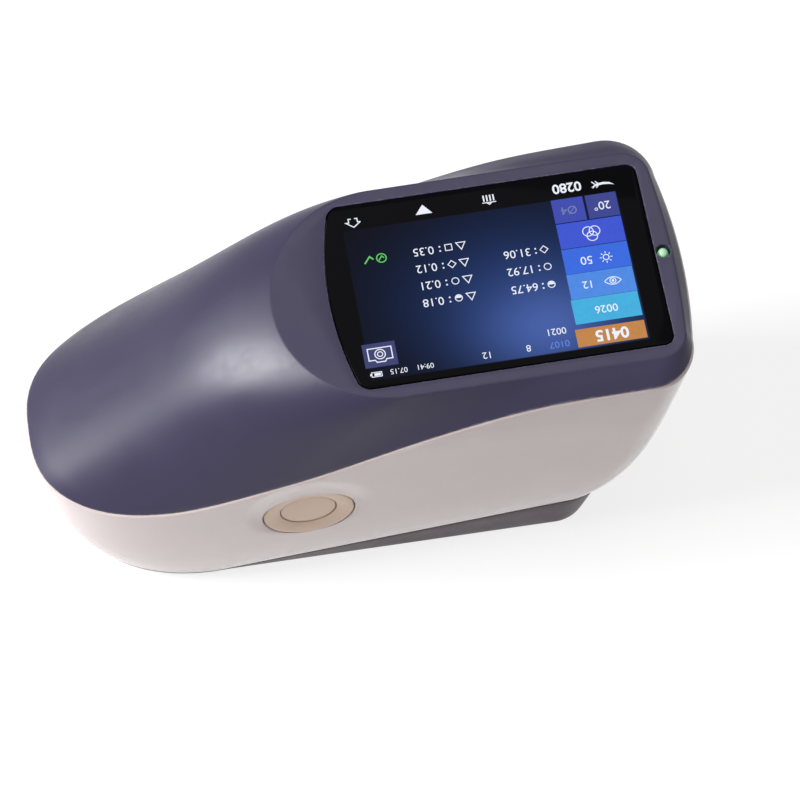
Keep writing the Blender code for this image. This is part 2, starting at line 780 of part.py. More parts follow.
def shell_core():
    """Solid that fills the casing to the middle of the pale shell's wall."""
    rings = [inset(wall_ring(share), SHELL_WALL / 2) for share in INNER_WALL_shares + (1,)]
    mesh = bmesh.new()
    skin(mesh, [level(rings[0], 0)] + rings + [level(rings[-1], BODY_HEIGHT + CUT_OVERRUN)])
    return helper("shell_core", mesh)


def glass_outline(margin):
    """Outline of the cover glass, grown or shrunk by a margin, with its tail side bowed out."""
    half = GLASS_WIDTH / 2 + margin
    corner = GLASS_CORNER + margin
    tail_x = GLASS_TAIL_X - margin
    outline = rounded_rectangle(tail_x, GLASS_HEAD_X + margin, -half, half, corner)
    side = []
    for step in range(1, BOW_STEPS):
        side.append((tail_x, (half - corner) * (1 - 2 * step / BOW_STEPS)))
    count = len(outline) // 4
    tail_side = outline[count * 2 : count * 3] + side + outline[count * 3 :]
    bowed = [(x - GLASS_BOW * (1 - (y / half) ** 2), y) for x, y in tail_side]
    return outline[: count * 2] + bowed


def cover_posts():
    """Screw posts that hang from the cover over the shell's lugs."""
    mesh = bmesh.new()
    for x, y, top in lug_places():
        place = Matrix.Translation((x, y, 0))
        rod(mesh, COVER_POST_RADIUS, top + FIT_GAP, BODY_HEIGHT, place)
    posts = helper("cover_posts", mesh)
    keep_inside(posts, cover_core())
    return posts


def cover_cuts():
    """Glass pocket, display window, hole for the status light and pilot holes in the posts."""
    mesh = bmesh.new()
    prism(mesh, glass_outline(FIT_GAP), LEDGE_TOP, BODY_HEIGHT + CUT_OVERRUN)
    pocket = helper("glass_pocket", mesh)
    mesh = bmesh.new()
    window = rounded_rectangle(
        DISPLAY_TAIL_X - DISPLAY_CLEARANCE, DISPLAY_HEAD_X + DISPLAY_CLEARANCE,
        -DISPLAY_WIDTH / 2 - DISPLAY_CLEARANCE, DISPLAY_WIDTH / 2 + DISPLAY_CLEARANCE,
        DISPLAY_CORNER,
    )
    prism(mesh, window, DECK_UNDERSIDE - CUT_OVERRUN, BODY_HEIGHT)
    light = Matrix.Translation((LIGHT_X, 0, 0))
    radius = LIGHT_RADIUS + FIT_GAP
    profile = [
        (0, DECK_UNDERSIDE - CUT_OVERRUN),
        (radius, DECK_UNDERSIDE - CUT_OVERRUN),
        (radius, BODY_HEIGHT - LIGHT_CHAMFER),
        (radius + LIGHT_CHAMFER + CUT_OVERRUN, BODY_HEIGHT + CUT_OVERRUN),
        (0, BODY_HEIGHT + CUT_OVERRUN),
    ]
    turned(mesh, profile, SMALL_STEPS * 2, light)
    for x, y, top in lug_places():
        place = Matrix.Translation((x, y, 0))
        depth = LARGE_LENGTH - LUG_THICKNESS
        rod(mesh, LARGE_SHANK + SHAFT_GAP, top - CUT_OVERRUN, top + depth + FIT_GAP, place)
    return pocket, helper("cover_holes", mesh)


def make_cover(finish):
    mesh = bmesh.new()
    skin(mesh, cover_rings(0, COVER_STEPS)[::-1] + cover_rings(1, COVER_INNER_STEPS))
    cover = object_of("top_cover", mesh, finish)
    join(cover, cover_posts())
    for cutter in cover_cuts():
        cut(cover, cutter)
    return cover


def lug_places():
    """Screw places on the shell's lugs: x, y and the height of the lug's top."""
    tail, head = TAIL_X + TAIL_LUG_FROM_TAIL, HEAD_X - HEAD_LUG_FROM_HEAD
    places = []
    for side in (-1, 1):
        tail_y, head_y = GRIP_WIDTH / 2 - TAIL_LUG_INSET, HEAD_WIDTH / 2 - HEAD_LUG_INSET
        places.append((tail, side * tail_y, float(seam_height(tail)) - TAIL_LUG_DROP))
        places.append((head, side * head_y, float(seam_height(head)) - HEAD_LUG_DROP))
    return places


def shell_post_places():
    return [(x, side * SHELL_POST_SPREAD) for x in SHELL_POST_XS for side in (-1, 1)]


def shell_supports():
    """Ribs and lugs that run out into the shell's wall, trimmed at its middle."""
    mesh = bmesh.new()
    reach = HEAD_WIDTH / 2
    for x, y in shell_post_places():
        low = float(edge_height(x)) + RIB_ABOVE_EDGE
        ends = sorted((y, np.sign(y) * reach))
        block(
            mesh, (x - RIB_THICKNESS / 2, ends[0], low),
            (x + RIB_THICKNESS / 2, ends[1], SHELL_POST_TOP - JOIN_OVERLAP),
        )
    for x, y, top in lug_places():
        ends = sorted((y - np.sign(y) * LUG_HALF_WIDTH, np.sign(y) * reach))
        block(
            mesh, (x - LUG_HALF_WIDTH, ends[0], top - LUG_THICKNESS),
            (x + LUG_HALF_WIDTH, ends[1], top),
        )
    supports = helper("shell_supports", mesh)
    keep_inside(supports, shell_core())
    return supports


def shell_posts():
    """Upright posts for the casing screws below and the main board above."""
    mesh = bmesh.new()
    for x, y in shell_post_places():
        rod(mesh, SHELL_POST_RADIUS, FLOOR_TOP + FIT_GAP, SHELL_POST_TOP, Matrix.Translation((x, y, 0)))
    return helper("shell_posts", mesh)


def button_place():
    """Frame of the measure button: local +Z points out of the casing from the ring's face."""
    height = float(seam_height(BUTTON_X) + edge_height(BUTTON_X)) / 2 + BUTTON_ABOVE_MIDDLE
    wall = half_width_at(BUTTON_X, height)
    return Matrix.Translation((BUTTON_X, BUTTON_SINK - wall, height)) @ ALONG_Y


def bay_floor_y():
    return half_width_at(BAY_TAIL_X, BAY_BOTTOM) - BAY_LEAST_DEPTH


def bay_outline(margin):
    """Outline of the socket bay in (x, -z), which ALONG_BACK turns upright."""
    return rounded_rectangle(
        BAY_TAIL_X - margin, BAY_HEAD_X + margin, -BAY_BOTTOM - BAY_HEIGHT - margin,
        -BAY_BOTTOM + margin, BAY_CORNER + margin,
    )


def wall_pads():
    """Thick flat places inside the shell, behind the button and the socket bay."""
    mesh = bmesh.new()
    radius = RING_RADIUS + RING_FLANGE + PAD_MARGIN
    rod(mesh, radius, -PAD_DEPTH, GRIP_WIDTH / 2, button_place(), PAD_STEPS)
    back = bay_floor_y() - SHELL_WALL
    prism(mesh, bay_outline(SHELL_WALL), back, GRIP_WIDTH, ALONG_BACK)
    pads = helper("wall_pads", mesh)
    keep_inside(pads, shell_core())
    return pads


def board_posts():
    """Two posts behind the button's pad, whose staked ends hold the switch board."""
    mesh = bmesh.new()
    front = button_board_front()
    back = front + BOARD_THICKNESS + FIT_GAP
    profile = [
        (0, -back - STAKE_HEAD_HEIGHT), (STAKE_HEAD_RADIUS, -back - STAKE_HEAD_HEIGHT),
        (STAKE_HEAD_RADIUS, -back), (STAKE_RADIUS, -back), (STAKE_RADIUS, -front + FIT_GAP),
        (BUTTON_POST_RADIUS, -front + FIT_GAP), (BUTTON_POST_RADIUS, -PAD_DEPTH + JOIN_OVERLAP),
        (0, -PAD_DEPTH + JOIN_OVERLAP),
    ]
    for side in (-1, 1):
        place = button_place() @ Matrix.Translation((side * BUTTON_POST_SPACING / 2, 0, 0))
        turned(mesh, profile, SMALL_STEPS, place)
    return helper("board_posts", mesh)


def button_openings():
    """Bore for the button ring, with the shallow scoop round it, and the socket bay."""
    mesh = bmesh.new()
    bore = RING_RADIUS + FIT_GAP
    out = BUTTON_SINK + CUT_OVERRUN
    slope = SCOOP_WIDTH / BUTTON_SINK
    turned(
        mesh, [
            (0, -PAD_DEPTH - CUT_OVERRUN), (bore, -PAD_DEPTH - CUT_OVERRUN), (bore, 0),
            (bore + slope * out, out), (0, out),
        ], ROUND_STEPS, button_place(),
    )
    prism(mesh, bay_outline(0), bay_floor_y(), GRIP_WIDTH, ALONG_BACK)
    return helper("button_and_bay", mesh)


def shell_holes():
    """Pilot holes in the posts, clearance holes in the lugs, and the sockets' holes in the bay."""
    mesh = bmesh.new()
    for x, y in shell_post_places():
        place = Matrix.Translation((x, y, 0))
        low = FLOOR_TOP + FIT_GAP
        rod(mesh, LARGE_SHANK + SHAFT_GAP, low - CUT_OVERRUN, low + LARGE_LENGTH, place)
        rod(
            mesh, SMALL_SHANK + SHAFT_GAP, SHELL_POST_TOP - SMALL_LENGTH,
            SHELL_POST_TOP + CUT_OVERRUN, place,
        )
    for x, y, top in lug_places():
        place = Matrix.Translation((x, y, 0))
        rod(mesh, LARGE_SHANK + SHAFT_GAP, top - LUG_THICKNESS - FIT_GAP, top + FIT_GAP, place)
    floor = bay_floor_y()
    for low, high in panel_cutouts():
        block(mesh, (low[0], floor - CUT_OVERRUN, low[1]), (high[0], floor + CUT_OVERRUN, high[1]))
    return helper("shell_holes", mesh)


def make_shell(finish):
    outer = [wall_ring(share) for share in WALL_shares]
    lip = lip_widths()
    shoulder = raised(inset(outer[-1], lip * LIP_ROUND_share**2), lip * LIP_RISE_share * LIP_ROUND_share)
    rim = rim_ring()
    inner = [inset(rim, SHELL_WALL)]
    inner += [inset(wall_ring(share), SHELL_WALL) for share in INNER_WALL_shares[::-1]]
    mesh = bmesh.new()
    skin(mesh, outer + [shoulder, rim] + inner, closed_loop=True)
    shell = object_of("lower_shell", mesh, finish)
    join(shell, shell_posts())
    join(shell, shell_supports())
    join(shell, wall_pads())
    join(shell, board_posts())
    cut(shell, button_openings())
    cut(shell, shell_holes())
    return shell


def chassis_post_places():
    places = []
    for side in (-1, 1):
        tail_y = side * (BASE.half_head - CHASSIS_POST_TAIL_INSET)
        head_y = side * (BASE.half_head - CHASSIS_POST_HEAD_INSET)
        places.append((PORT_X - CHASSIS_POST_TAIL_REACH, tail_y))
        places.append((PORT_X + CHASSIS_POST_HEAD_REACH, head_y))
    return places


def foot_places():
    places = []
    for side in (-1, 1):
        tail_y, head_y = BASE.half_width - FOOT_TAIL_INSET, BASE.half_head - FOOT_HEAD_INSET
        places.append((TAIL_X + FOOT_TAIL_FROM_TAIL, side * tail_y))
        places.append((HEAD_X - FOOT_HEAD_FROM_HEAD, side * head_y))
    return places


def battery_ends():
    return TAIL_X + BATTERY_FROM_TAIL, TAIL_X + BATTERY_FROM_TAIL + BATTERY_LENGTH


def base_holes():
    """Foot recesses, screw holes with counterbores, the measuring port and the posts' pilot holes."""
    mesh = bmesh.new()
    under = FOOT_PROUD - CUT_OVERRUN
    for x, y in foot_places():
        rod(
            mesh, FOOT_RADIUS + FIT_GAP, under, FOOT_PROUD + FOOT_SINK, Matrix.Translation((x, y, 0)),
            ROUND_STEPS // 2,
        )
    for x, y in shell_post_places():
        head = LARGE_HEAD_RADIUS + FIT_GAP
        seat = FOOT_PROUD + LARGE_HEAD_HEIGHT + FIT_GAP
        shank = LARGE_SHANK + SHAFT_GAP
        profile = [
            (0, under), (head, under), (head, seat), (shank, seat),
            (shank, FLOOR_TOP + CUT_OVERRUN), (0, FLOOR_TOP + CUT_OVERRUN),
        ]
        turned(mesh, profile, SMALL_STEPS, Matrix.Translation((x, y, 0)))
    rod(
        mesh, APERTURE_FLANGE_RADIUS + FIT_GAP, under, FLOOR_TOP + CUT_OVERRUN, AT_PORT,
        ROUND_STEPS,
    )
    for x, y in chassis_post_places():
        rod(
            mesh, LARGE_SHANK + SHAFT_GAP, CHASSIS_POST_TOP - LARGE_LENGTH,
            CHASSIS_POST_TOP + CUT_OVERRUN, Matrix.Translation((x, y, 0)),
        )
    return helper("base_holes", mesh)


def battery_ribs(mesh):
    """Low ribs on the base's floor that locate the battery on its four sides."""
    tail, head = battery_ends()
    low, high = FLOOR_TOP - JOIN_OVERLAP, FLOOR_TOP + BATTERY_RIB_HEIGHT
    thick, half = BATTERY_RIB_THICKNESS, BATTERY_RIB_LENGTH / 2
    for x in (tail - FIT_GAP - thick, head + FIT_GAP):
        block(mesh, (x, -half, low), (x + thick, half, high))
    middle = (tail + head) / 2
    side = BATTERY_WIDTH / 2 + FIT_GAP
    for y in (-side - thick, side):
        block(mesh, (middle - half, y, low), (middle + half, y + thick, high))


def make_base(finish):
    plan = BASE.points()
    bottom = np.column_stack([plan, np.full(len(plan), FOOT_PROUD)])
    top = raised(edge_ring(), -FIT_GAP)
    rings = [bottom, top, inset(top, BASE_WALL), level(inset(bottom, BASE_WALL), FLOOR_TOP)]
    mesh = bmesh.new()
    skin(mesh, rings)
    base = object_of("base_plate", mesh, finish)
    mesh = bmesh.new()
    for x, y in chassis_post_places():
        place = Matrix.Translation((x, y, 0))
        rod(mesh, CHASSIS_POST_RADIUS, FLOOR_TOP - JOIN_OVERLAP, CHASSIS_POST_TOP, place)
    battery_ribs(mesh)
    join(base, helper("base_posts", mesh))
    cut(base, base_holes())
    return base


def make_feet(finish):
    top = FOOT_PROUD + FOOT_SINK - FIT_GAP
    profile = [
        (0, 0), (FOOT_RADIUS - FOOT_CHAMFER, 0), (FOOT_RADIUS, FOOT_CHAMFER), (FOOT_RADIUS, top),
        (0, top),
    ]
    for number, (x, y) in enumerate(foot_places(), 1):
        mesh = bmesh.new()
        turned(mesh, profile, ROUND_STEPS // 2)
        foot = object_of(f"foot_{number}", mesh, finish)
        foot.location = (x, y, 0)


# Fasteners


def screw(name, place, finish, large=True, length=None):
    """A pan-head screw: its head stands on local Z = 0 and its shank runs to local -Z."""
    shank = LARGE_SHANK if large else SMALL_SHANK
    head = LARGE_HEAD_RADIUS if large else SMALL_HEAD_RADIUS
    height = LARGE_HEAD_HEIGHT if large else SMALL_HEAD_HEIGHT
    length = length or (LARGE_LENGTH if large else SMALL_LENGTH)
    edge = head * HEAD_EDGE_share
    profile = [
        (0, -length), (shank, -length), (shank, 0), (head, 0), (head, height - edge),
        (head - edge, height), (0, height),
    ]
    mesh = bmesh.new()
    turned(mesh, profile, SCREW_STEPS, place)
    made = object_of(name, mesh, finish)
    mesh = bmesh.new()
    rod(mesh, head * SOCKET_share, height * (1 - SOCKET_DEPTH_share), height + CUT_OVERRUN, place, 6)
    cut(made, helper(name + "_socket", mesh))


def upside_down(x, y, z):
    return Matrix.Translation((x, y, z)) @ Matrix.Rotation(pi, 4, "X")


def make_casing_screws(finish):
    seat = FOOT_PROUD + LARGE_HEAD_HEIGHT
    for number, (x, y) in enumerate(shell_post_places(), 1):
        screw(f"base_screw_{number}", upside_down(x, y, seat), finish)
    for number, (x, y, top) in enumerate(lug_places(), 1):
        low = top - LUG_THICKNESS - FIT_GAP
        screw(f"cover_screw_{number}", upside_down(x, y, low), finish)
    for number, (x, y) in enumerate(shell_post_places(), 1):
        place = Matrix.Translation((x, y, MAIN_BOARD_TOP + FIT_GAP))
        screw(f"board_screw_{number}", place, finish, large=False)
    for number, (x, y) in enumerate(chassis_post_places(), 1):
        screw(f"chassis_screw_{number}", Matrix.Translation((x, y, CHASSIS_TOP + FIT_GAP)), finish)


# Screen and status light


def make_screen(glass, gasket, panel, board):
    mesh = bmesh.new()
    prism(mesh, glass_outline(0), GLASS_BOTTOM, GLASS_TOP)
    object_of("screen_glass", mesh, glass)

    mesh = bmesh.new()
    prism(mesh, glass_outline(-GASKET_INSET), GASKET_TOP - GASKET_THICKNESS, GASKET_TOP)
    frame = object_of("display_gasket", mesh, gasket)
    mesh = bmesh.new()
    opening = rounded_rectangle(
        DISPLAY_TAIL_X - DISPLAY_CLEARANCE, DISPLAY_HEAD_X + DISPLAY_CLEARANCE,
        -DISPLAY_WIDTH / 2 - DISPLAY_CLEARANCE, DISPLAY_WIDTH / 2 + DISPLAY_CLEARANCE,
        DISPLAY_CORNER,
    )
    prism(mesh, opening, GASKET_TOP - CUT_OVERRUN, GASKET_TOP + CUT_OVERRUN)
    cut(frame, helper("gasket_opening", mesh))

    mesh = bmesh.new()
    outline = rounded_rectangle(
        DISPLAY_TAIL_X, DISPLAY_HEAD_X, -DISPLAY_WIDTH / 2, DISPLAY_WIDTH / 2, DISPLAY_CORNER,
    )
    prism(mesh, outline, DISPLAY_BOTTOM, DISPLAY_TOP)
    object_of("display_panel", mesh, panel)
    make_display_board(board)


def make_display_board(finish):
    """Board behind the display, with a tongue that carries the status light's lamp."""
    tail = DISPLAY_HEAD_X - DISPLAY_BOARD_LENGTH
    low = DISPLAY_BOARD_TOP - BOARD_THICKNESS
    mesh = bmesh.new()
    half = DISPLAY_BOARD_WIDTH / 2
    outline = rounded_rectangle(tail, DISPLAY_HEAD_X, -half, half, BOARD_CORNER)
    prism(mesh, outline, low, DISPLAY_BOARD_TOP)
    board = object_of("display_board", mesh, finish)
    mesh = bmesh.new()
    tongue = BOARD_TONGUE_WIDTH / 2
    block(
        mesh, (DISPLAY_HEAD_X - JOIN_OVERLAP, -tongue, low),
        (DISPLAY_HEAD_X + BOARD_TONGUE_LENGTH, tongue, DISPLAY_BOARD_TOP),
    )
    join(board, helper("board_tongue", mesh))


def make_status_light(finish):
    bottom = DISPLAY_BOARD_TOP + FIT_GAP
    flange = DECK_UNDERSIDE - FIT_GAP
    profile = [
        (0, bottom), (LIGHT_RADIUS + LIGHT_FLANGE, bottom), (LIGHT_RADIUS + LIGHT_FLANGE, flange),
        (LIGHT_RADIUS, flange), (LIGHT_RADIUS, BODY_HEIGHT - LIGHT_DOME * 2), (0, BODY_HEIGHT - LIGHT_DOME),
    ]
    mesh = bmesh.new()
    turned(mesh, profile, SMALL_STEPS * 2, Matrix.Translation((LIGHT_X, 0, 0)))
    object_of("status_light", mesh, finish)


# Measure button


def ring_back():
    return PAD_DEPTH + FIT_GAP + RING_FLANGE_THICKNESS


def button_tip():
    return ring_back() + FIT_GAP + BUTTON_FLANGE_THICKNESS + BUTTON_STEM_LENGTH


def button_board_front():
    """Depth of the switch board's front face behind the ring's face."""
    switch = SWITCH_TIP_HEIGHT + SWITCH_BODY_HEIGHT
    return button_tip() + BUTTON_TRAVEL + SWITCH_RUN_OUT + switch + FIT_GAP


def make_button(ring_finish, button_finish, switch_finish, board_finish):
    place = button_place()
    front = PAD_DEPTH + FIT_GAP
    outer = RING_RADIUS + RING_FLANGE
    profile = [
        (RING_BORE, -RING_DISH), (RING_RADIUS - RING_ROUND, 0), (RING_RADIUS, -RING_ROUND),
        (RING_RADIUS, -front), (outer, -front), (outer, -ring_back()), (RING_BORE, -ring_back()),
    ]
    mesh = bmesh.new()
    turned(mesh, profile, ROUND_STEPS, place)
    object_of("button_ring", mesh, ring_finish)

    axis = bpy.data.objects.new("measure_button_axis", None)
    bpy.context.collection.objects.link(axis)
    axis.location = place.translation
    face = BUTTON_SET_BACK
    radius = RING_BORE - FIT_GAP
    back = ring_back() + FIT_GAP
    flange = RING_BORE + BUTTON_FLANGE
    profile = [
        (0, -face), (radius - RING_ROUND, -face - BUTTON_CROWN),
        (radius, -face - BUTTON_CROWN - RING_ROUND), (radius, -back), (flange, -back),
        (flange, -back - BUTTON_FLANGE_THICKNESS), (BUTTON_STEM_RADIUS, -back - BUTTON_FLANGE_THICKNESS),
        (BUTTON_STEM_RADIUS, -button_tip()), (0, -button_tip()),
    ]
    mesh = bmesh.new()
    turned(mesh, profile, ROUND_STEPS, place)
    object_of("measure_button", mesh, button_finish, axis, tuple(place.translation))

    tip = button_tip() + BUTTON_TRAVEL + SWITCH_RUN_OUT
    mesh = bmesh.new()
    half = SWITCH_SIDE / 2
    base = tip + SWITCH_TIP_HEIGHT
    block(mesh, (-half, -half, -base - SWITCH_BODY_HEIGHT), (half, half, -base), place)
    switch = object_of("button_switch", mesh, switch_finish)
    mesh = bmesh.new()
    rod(mesh, SWITCH_TIP_RADIUS, -base - JOIN_OVERLAP, -tip, place)
    join(switch, helper("switch_tip", mesh))
    make_button_board(place, board_finish)


def make_button_board(place, finish):
    front = button_board_front()
    mesh = bmesh.new()
    outline = rounded_rectangle(
        -BUTTON_BOARD_LENGTH / 2, BUTTON_BOARD_LENGTH / 2, -BUTTON_BOARD_WIDTH / 2,
        BUTTON_BOARD_WIDTH / 2, BOARD_CORNER,
    )
    prism(mesh, outline, -front - BOARD_THICKNESS, -front, place)
    board = object_of("button_board", mesh, finish)
    mesh = bmesh.new()
    for side in (-1, 1):
        at = place @ Matrix.Translation((side * BUTTON_POST_SPACING / 2, 0, 0))
        low = -front - BOARD_THICKNESS
        rod(mesh, STAKE_RADIUS + FIT_GAP, low - CUT_OVERRUN, -front + CUT_OVERRUN, at)
    cut(board, helper("button_board_holes", mesh))


# Measuring port and sphere


def make_aperture(ring_finish, seat_finish):
    """The ring that sets the measured spot, locked by a part turn in its seat."""
    axis = bpy.data.objects.new("aperture_axis", None)
    bpy.context.collection.objects.link(axis)
    axis.location = (PORT_X, 0, 0)
    low = APERTURE_BOTTOM
    neck_in = APERTURE_NECK_RADIUS - APERTURE_NECK_WALL
    flange_top = low + APERTURE_FLANGE_THICKNESS
    profile = [
        (APERTURE_RADIUS, low), (APERTURE_FLANGE_RADIUS - APERTURE_CHAMFER, low),
        (APERTURE_FLANGE_RADIUS, low + APERTURE_CHAMFER), (APERTURE_FLANGE_RADIUS, flange_top),
        (APERTURE_NECK_RADIUS, flange_top), (APERTURE_NECK_RADIUS, APERTURE_TOP),
        (neck_in, APERTURE_TOP), (neck_in, flange_top),
        (APERTURE_RADIUS, low + APERTURE_FACE_THICKNESS),
    ]
    mesh = bmesh.new()
    turned(mesh, profile, ROUND_STEPS, AT_PORT)
    ring = object_of("aperture_ring", mesh, ring_finish, axis, (PORT_X, 0, 0))
    mesh = bmesh.new()
    half = APERTURE_LUG_WIDTH / 2
    reach = APERTURE_NECK_RADIUS + APERTURE_LUG_REACH
    for side in (-1, 1):
        ends = sorted((side * (APERTURE_NECK_RADIUS - APERTURE_NECK_WALL / 2), side * reach))
        block(
            mesh, (ends[0], -half, APERTURE_LUG_BOTTOM), (ends[1], half, APERTURE_TOP - FIT_GAP / 3),
            AT_PORT,
        )
    join(ring, helper("aperture_lugs", mesh))
    mesh = bmesh.new()
    for side in (-1, 1):
        place = AT_PORT @ Matrix.Translation((0, side * SPANNER_HOLE_CIRCLE, 0))
        rod(mesh, SPANNER_HOLE_RADIUS, low - CUT_OVERRUN, low + SPANNER_HOLE_DEPTH, place)
    cut(ring, helper("spanner_holes", mesh))
    make_port_seat(seat_finish, reach)


def make_port_seat(finish, lug_reach):
    bore = APERTURE_NECK_RADIUS + FIT_GAP
    profile = [
        (bore, PORT_SEAT_BOTTOM), (PORT_SEAT_RADIUS, PORT_SEAT_BOTTOM),
        (PORT_SEAT_RADIUS, PORT_SEAT_TOP), (bore, PORT_SEAT_TOP),
    ]
    mesh = bmesh.new()
    turned(mesh, profile, ROUND_STEPS, AT_PORT)
    seat = object_of("port_seat", mesh, finish)
    reach = lug_reach + PORT_SEAT_NOTCH_MARGIN
    half = APERTURE_LUG_WIDTH / 2 + PORT_SEAT_NOTCH_MARGIN
    mesh = bmesh.new()
    block(
        mesh, (-reach, -half, PORT_SEAT_BOTTOM - CUT_OVERRUN), (reach, half, PORT_SEAT_TOP + CUT_OVERRUN),
        AT_PORT @ Matrix.Rotation(APERTURE_TURN, 4, "Z"),
    )
    cut(seat, helper("seat_notches", mesh))


def arc(radius, start, end, steps):
    """(radius, height) points on a sphere about the origin, by angle above its equator."""
    turns = [start + (end - start) * step / steps for step in range(steps + 1)]
    return [(radius * cos(turn), radius * sin(turn)) for turn in turns]


def sphere_place():
    """Frame at the sphere's middle, turned half a step so that its edges miss the middle plane."""
    return Matrix.Translation((PORT_X, 0, SPHERE_Z)) @ Matrix.Rotation(pi / SPHERE_STEPS, 4, "Z")


def around_sphere(radius, turn):
    return Matrix.Translation((PORT_X + radius * cos(turn), radius * sin(turn), 0))


def sphere_screw_places():
    turns = [SPHERE_SCREW_TURN + pi / 2 * number for number in range(4)]
    return [around_sphere(SPHERE_FLANGE_RADIUS - SPHERE_SCREW_INSET, turn) for turn in turns]


def make_sphere(finish):
    """Two flanged halves with white walls, the measuring port below and the view port above."""
    port = -np.arccos(SPHERE_PORT_RADIUS / SPHERE_RADIUS)
    inner_port = -np.arccos(SPHERE_PORT_RADIUS / SPHERE_INNER_RADIUS)
    flange = SPHERE_FLANGE_THICKNESS
    level_turn = -np.arcsin((flange + FIT_GAP / 2) / SPHERE_RADIUS)
    half_gap = FIT_GAP / 2
    profile = arc(SPHERE_RADIUS, port, level_turn, SPHERE_ARC_STEPS)
    profile += [(SPHERE_FLANGE_RADIUS, -half_gap - flange), (SPHERE_FLANGE_RADIUS, -half_gap)]
    inner_level = -np.arcsin(half_gap / SPHERE_INNER_RADIUS)
    profile += arc(SPHERE_INNER_RADIUS, inner_level, inner_port, SPHERE_ARC_STEPS)
    mesh = bmesh.new()
    turned(mesh, profile, SPHERE_STEPS, sphere_place())
    lower = object_of("sphere_lower", mesh, finish)

    profile = [(0, half_gap), (SPHERE_FLANGE_RADIUS, half_gap), (SPHERE_FLANGE_RADIUS, half_gap + flange)]
    profile += arc(SPHERE_RADIUS, -level_turn, pi / 2, SPHERE_ARC_STEPS)[:-1] + [(0, SPHERE_RADIUS)]
    mesh = bmesh.new()
    turned(mesh, profile, SPHERE_STEPS, sphere_place())
    upper = object_of("sphere_upper", mesh, finish)
    join(upper, sphere_additions())
    cut(upper, sphere_cavity())
    cut(upper, sphere_ports())
    mesh = bmesh.new()
    for place in sphere_screw_places():
        reach = flange + FIT_GAP + CUT_OVERRUN
        rod(mesh, SMALL_SHANK + SHAFT_GAP, SPHERE_Z - reach, SPHERE_Z + reach, place)
    holes = helper("sphere_screw_holes", mesh)
    cut(lower, holes)
    cut(upper, holes)


def view_place(distance=0):
    """Frame on the view axis, tilted from the sample's centre, with local +Z along it."""
    return (
        Matrix.Translation((PORT_X, 0, APERTURE_BOTTOM))
        @ Matrix.Rotation(-VIEW_TILT, 4, "Y")
        @ Matrix.Translation((0, 0, distance))
    )


def view_exit():
    """Distance along the view axis from the sample to the outside of the sphere."""
    height = SPHERE_Z - APERTURE_BOTTOM
    along = height * cos(VIEW_TILT)
    return along + sqrt(along**2 - height**2 + SPHERE_RADIUS**2)


def sphere_additions():
    """Boss for the view barrel and the posts of the lamp board."""
    mesh = bmesh.new()
    low, top = view_exit() - SPHERE_WALL * 2.5, view_exit() + VIEW_BOSS_RISE
    rod(mesh, VIEW_BOSS_RADIUS, low, top, view_place(), ROUND_STEPS // 2)
    for number in range(4):
        place = around_sphere(SPHERE_FLANGE_RADIUS - LAMP_POST_INSET, pi / 2 * number)
        low = SPHERE_Z + SPHERE_FLANGE_THICKNESS - JOIN_OVERLAP / 2
        rod(mesh, LAMP_POST_RADIUS, low, LAMP_BOARD_BOTTOM - FIT_GAP, place, 8)
    return helper("sphere_additions", mesh)


def sphere_cavity():
    profile = [(0, -CUT_OVERRUN), (SPHERE_INNER_RADIUS, -CUT_OVERRUN)]
    profile += arc(SPHERE_INNER_RADIUS, 0, pi / 2, SPHERE_ARC_STEPS)[:-1] + [(0, SPHERE_INNER_RADIUS)]
    mesh = bmesh.new()
    turned(mesh, profile, SPHERE_STEPS, sphere_place())
    return helper("sphere_cavity", mesh)


def sphere_ports():
    """The tilted view bore and the upright bore for the camera."""
    mesh = bmesh.new()
    middle = SPHERE_Z + SPHERE_INNER_RADIUS / 2
    rod(mesh, VIEW_BORE, middle, view_exit() + VIEW_BOSS_RISE + CUT_OVERRUN, view_place(), ROUND_STEPS // 2)
    camera = Matrix.Translation((PORT_X + CAMERA_FROM_PORT, 0, 0))
    rod(mesh, CAMERA_BORE, middle, SPHERE_Z + SPHERE_RADIUS + CUT_OVERRUN, camera, ROUND_STEPS // 2)
    return helper("sphere_ports", mesh)


def make_lamp_board(finish):
    """Ring-shaped board round the sphere, with its lamps facing in and down."""
    low = LAMP_BOARD_BOTTOM
    inner = sqrt(SPHERE_RADIUS**2 - LAMP_BOARD_RISE**2) + LAMP_BOARD_CLEARANCE
    outer = SPHERE_FLANGE_RADIUS
    mesh = bmesh.new()
    profile = [(inner, low), (outer, low), (outer, low + BOARD_THICKNESS), (inner, low + BOARD_THICKNESS)]
    turned(mesh, profile, ROUND_STEPS, AT_PORT)
    board = object_of("lamp_board", mesh, finish)
    mesh = bmesh.new()
    half = LAMP_SIZE / 2
    middle = (inner + outer) / 2
    top = low + BOARD_THICKNESS
    corners = (middle - half, -half, top - JOIN_OVERLAP), (middle + half, half, top + LAMP_HEIGHT)
    for number in range(LAMP_COUNT):
        place = AT_PORT @ Matrix.Rotation(pi * (2 * number + 1) / LAMP_COUNT, 4, "Z")
        block(mesh, *corners, place)
    join(board, helper("lamps", mesh))


def shelf_bottom():
    """Height of the chassis's shelf, just under the top of the view barrel."""
    top = view_exit() + VIEW_BOSS_RISE + FIT_GAP + BARREL_LENGTH
    reach = BARREL_RADIUS * sin(VIEW_TILT)
    return APERTURE_BOTTOM + top * cos(VIEW_TILT) + reach - SHELF_THICKNESS


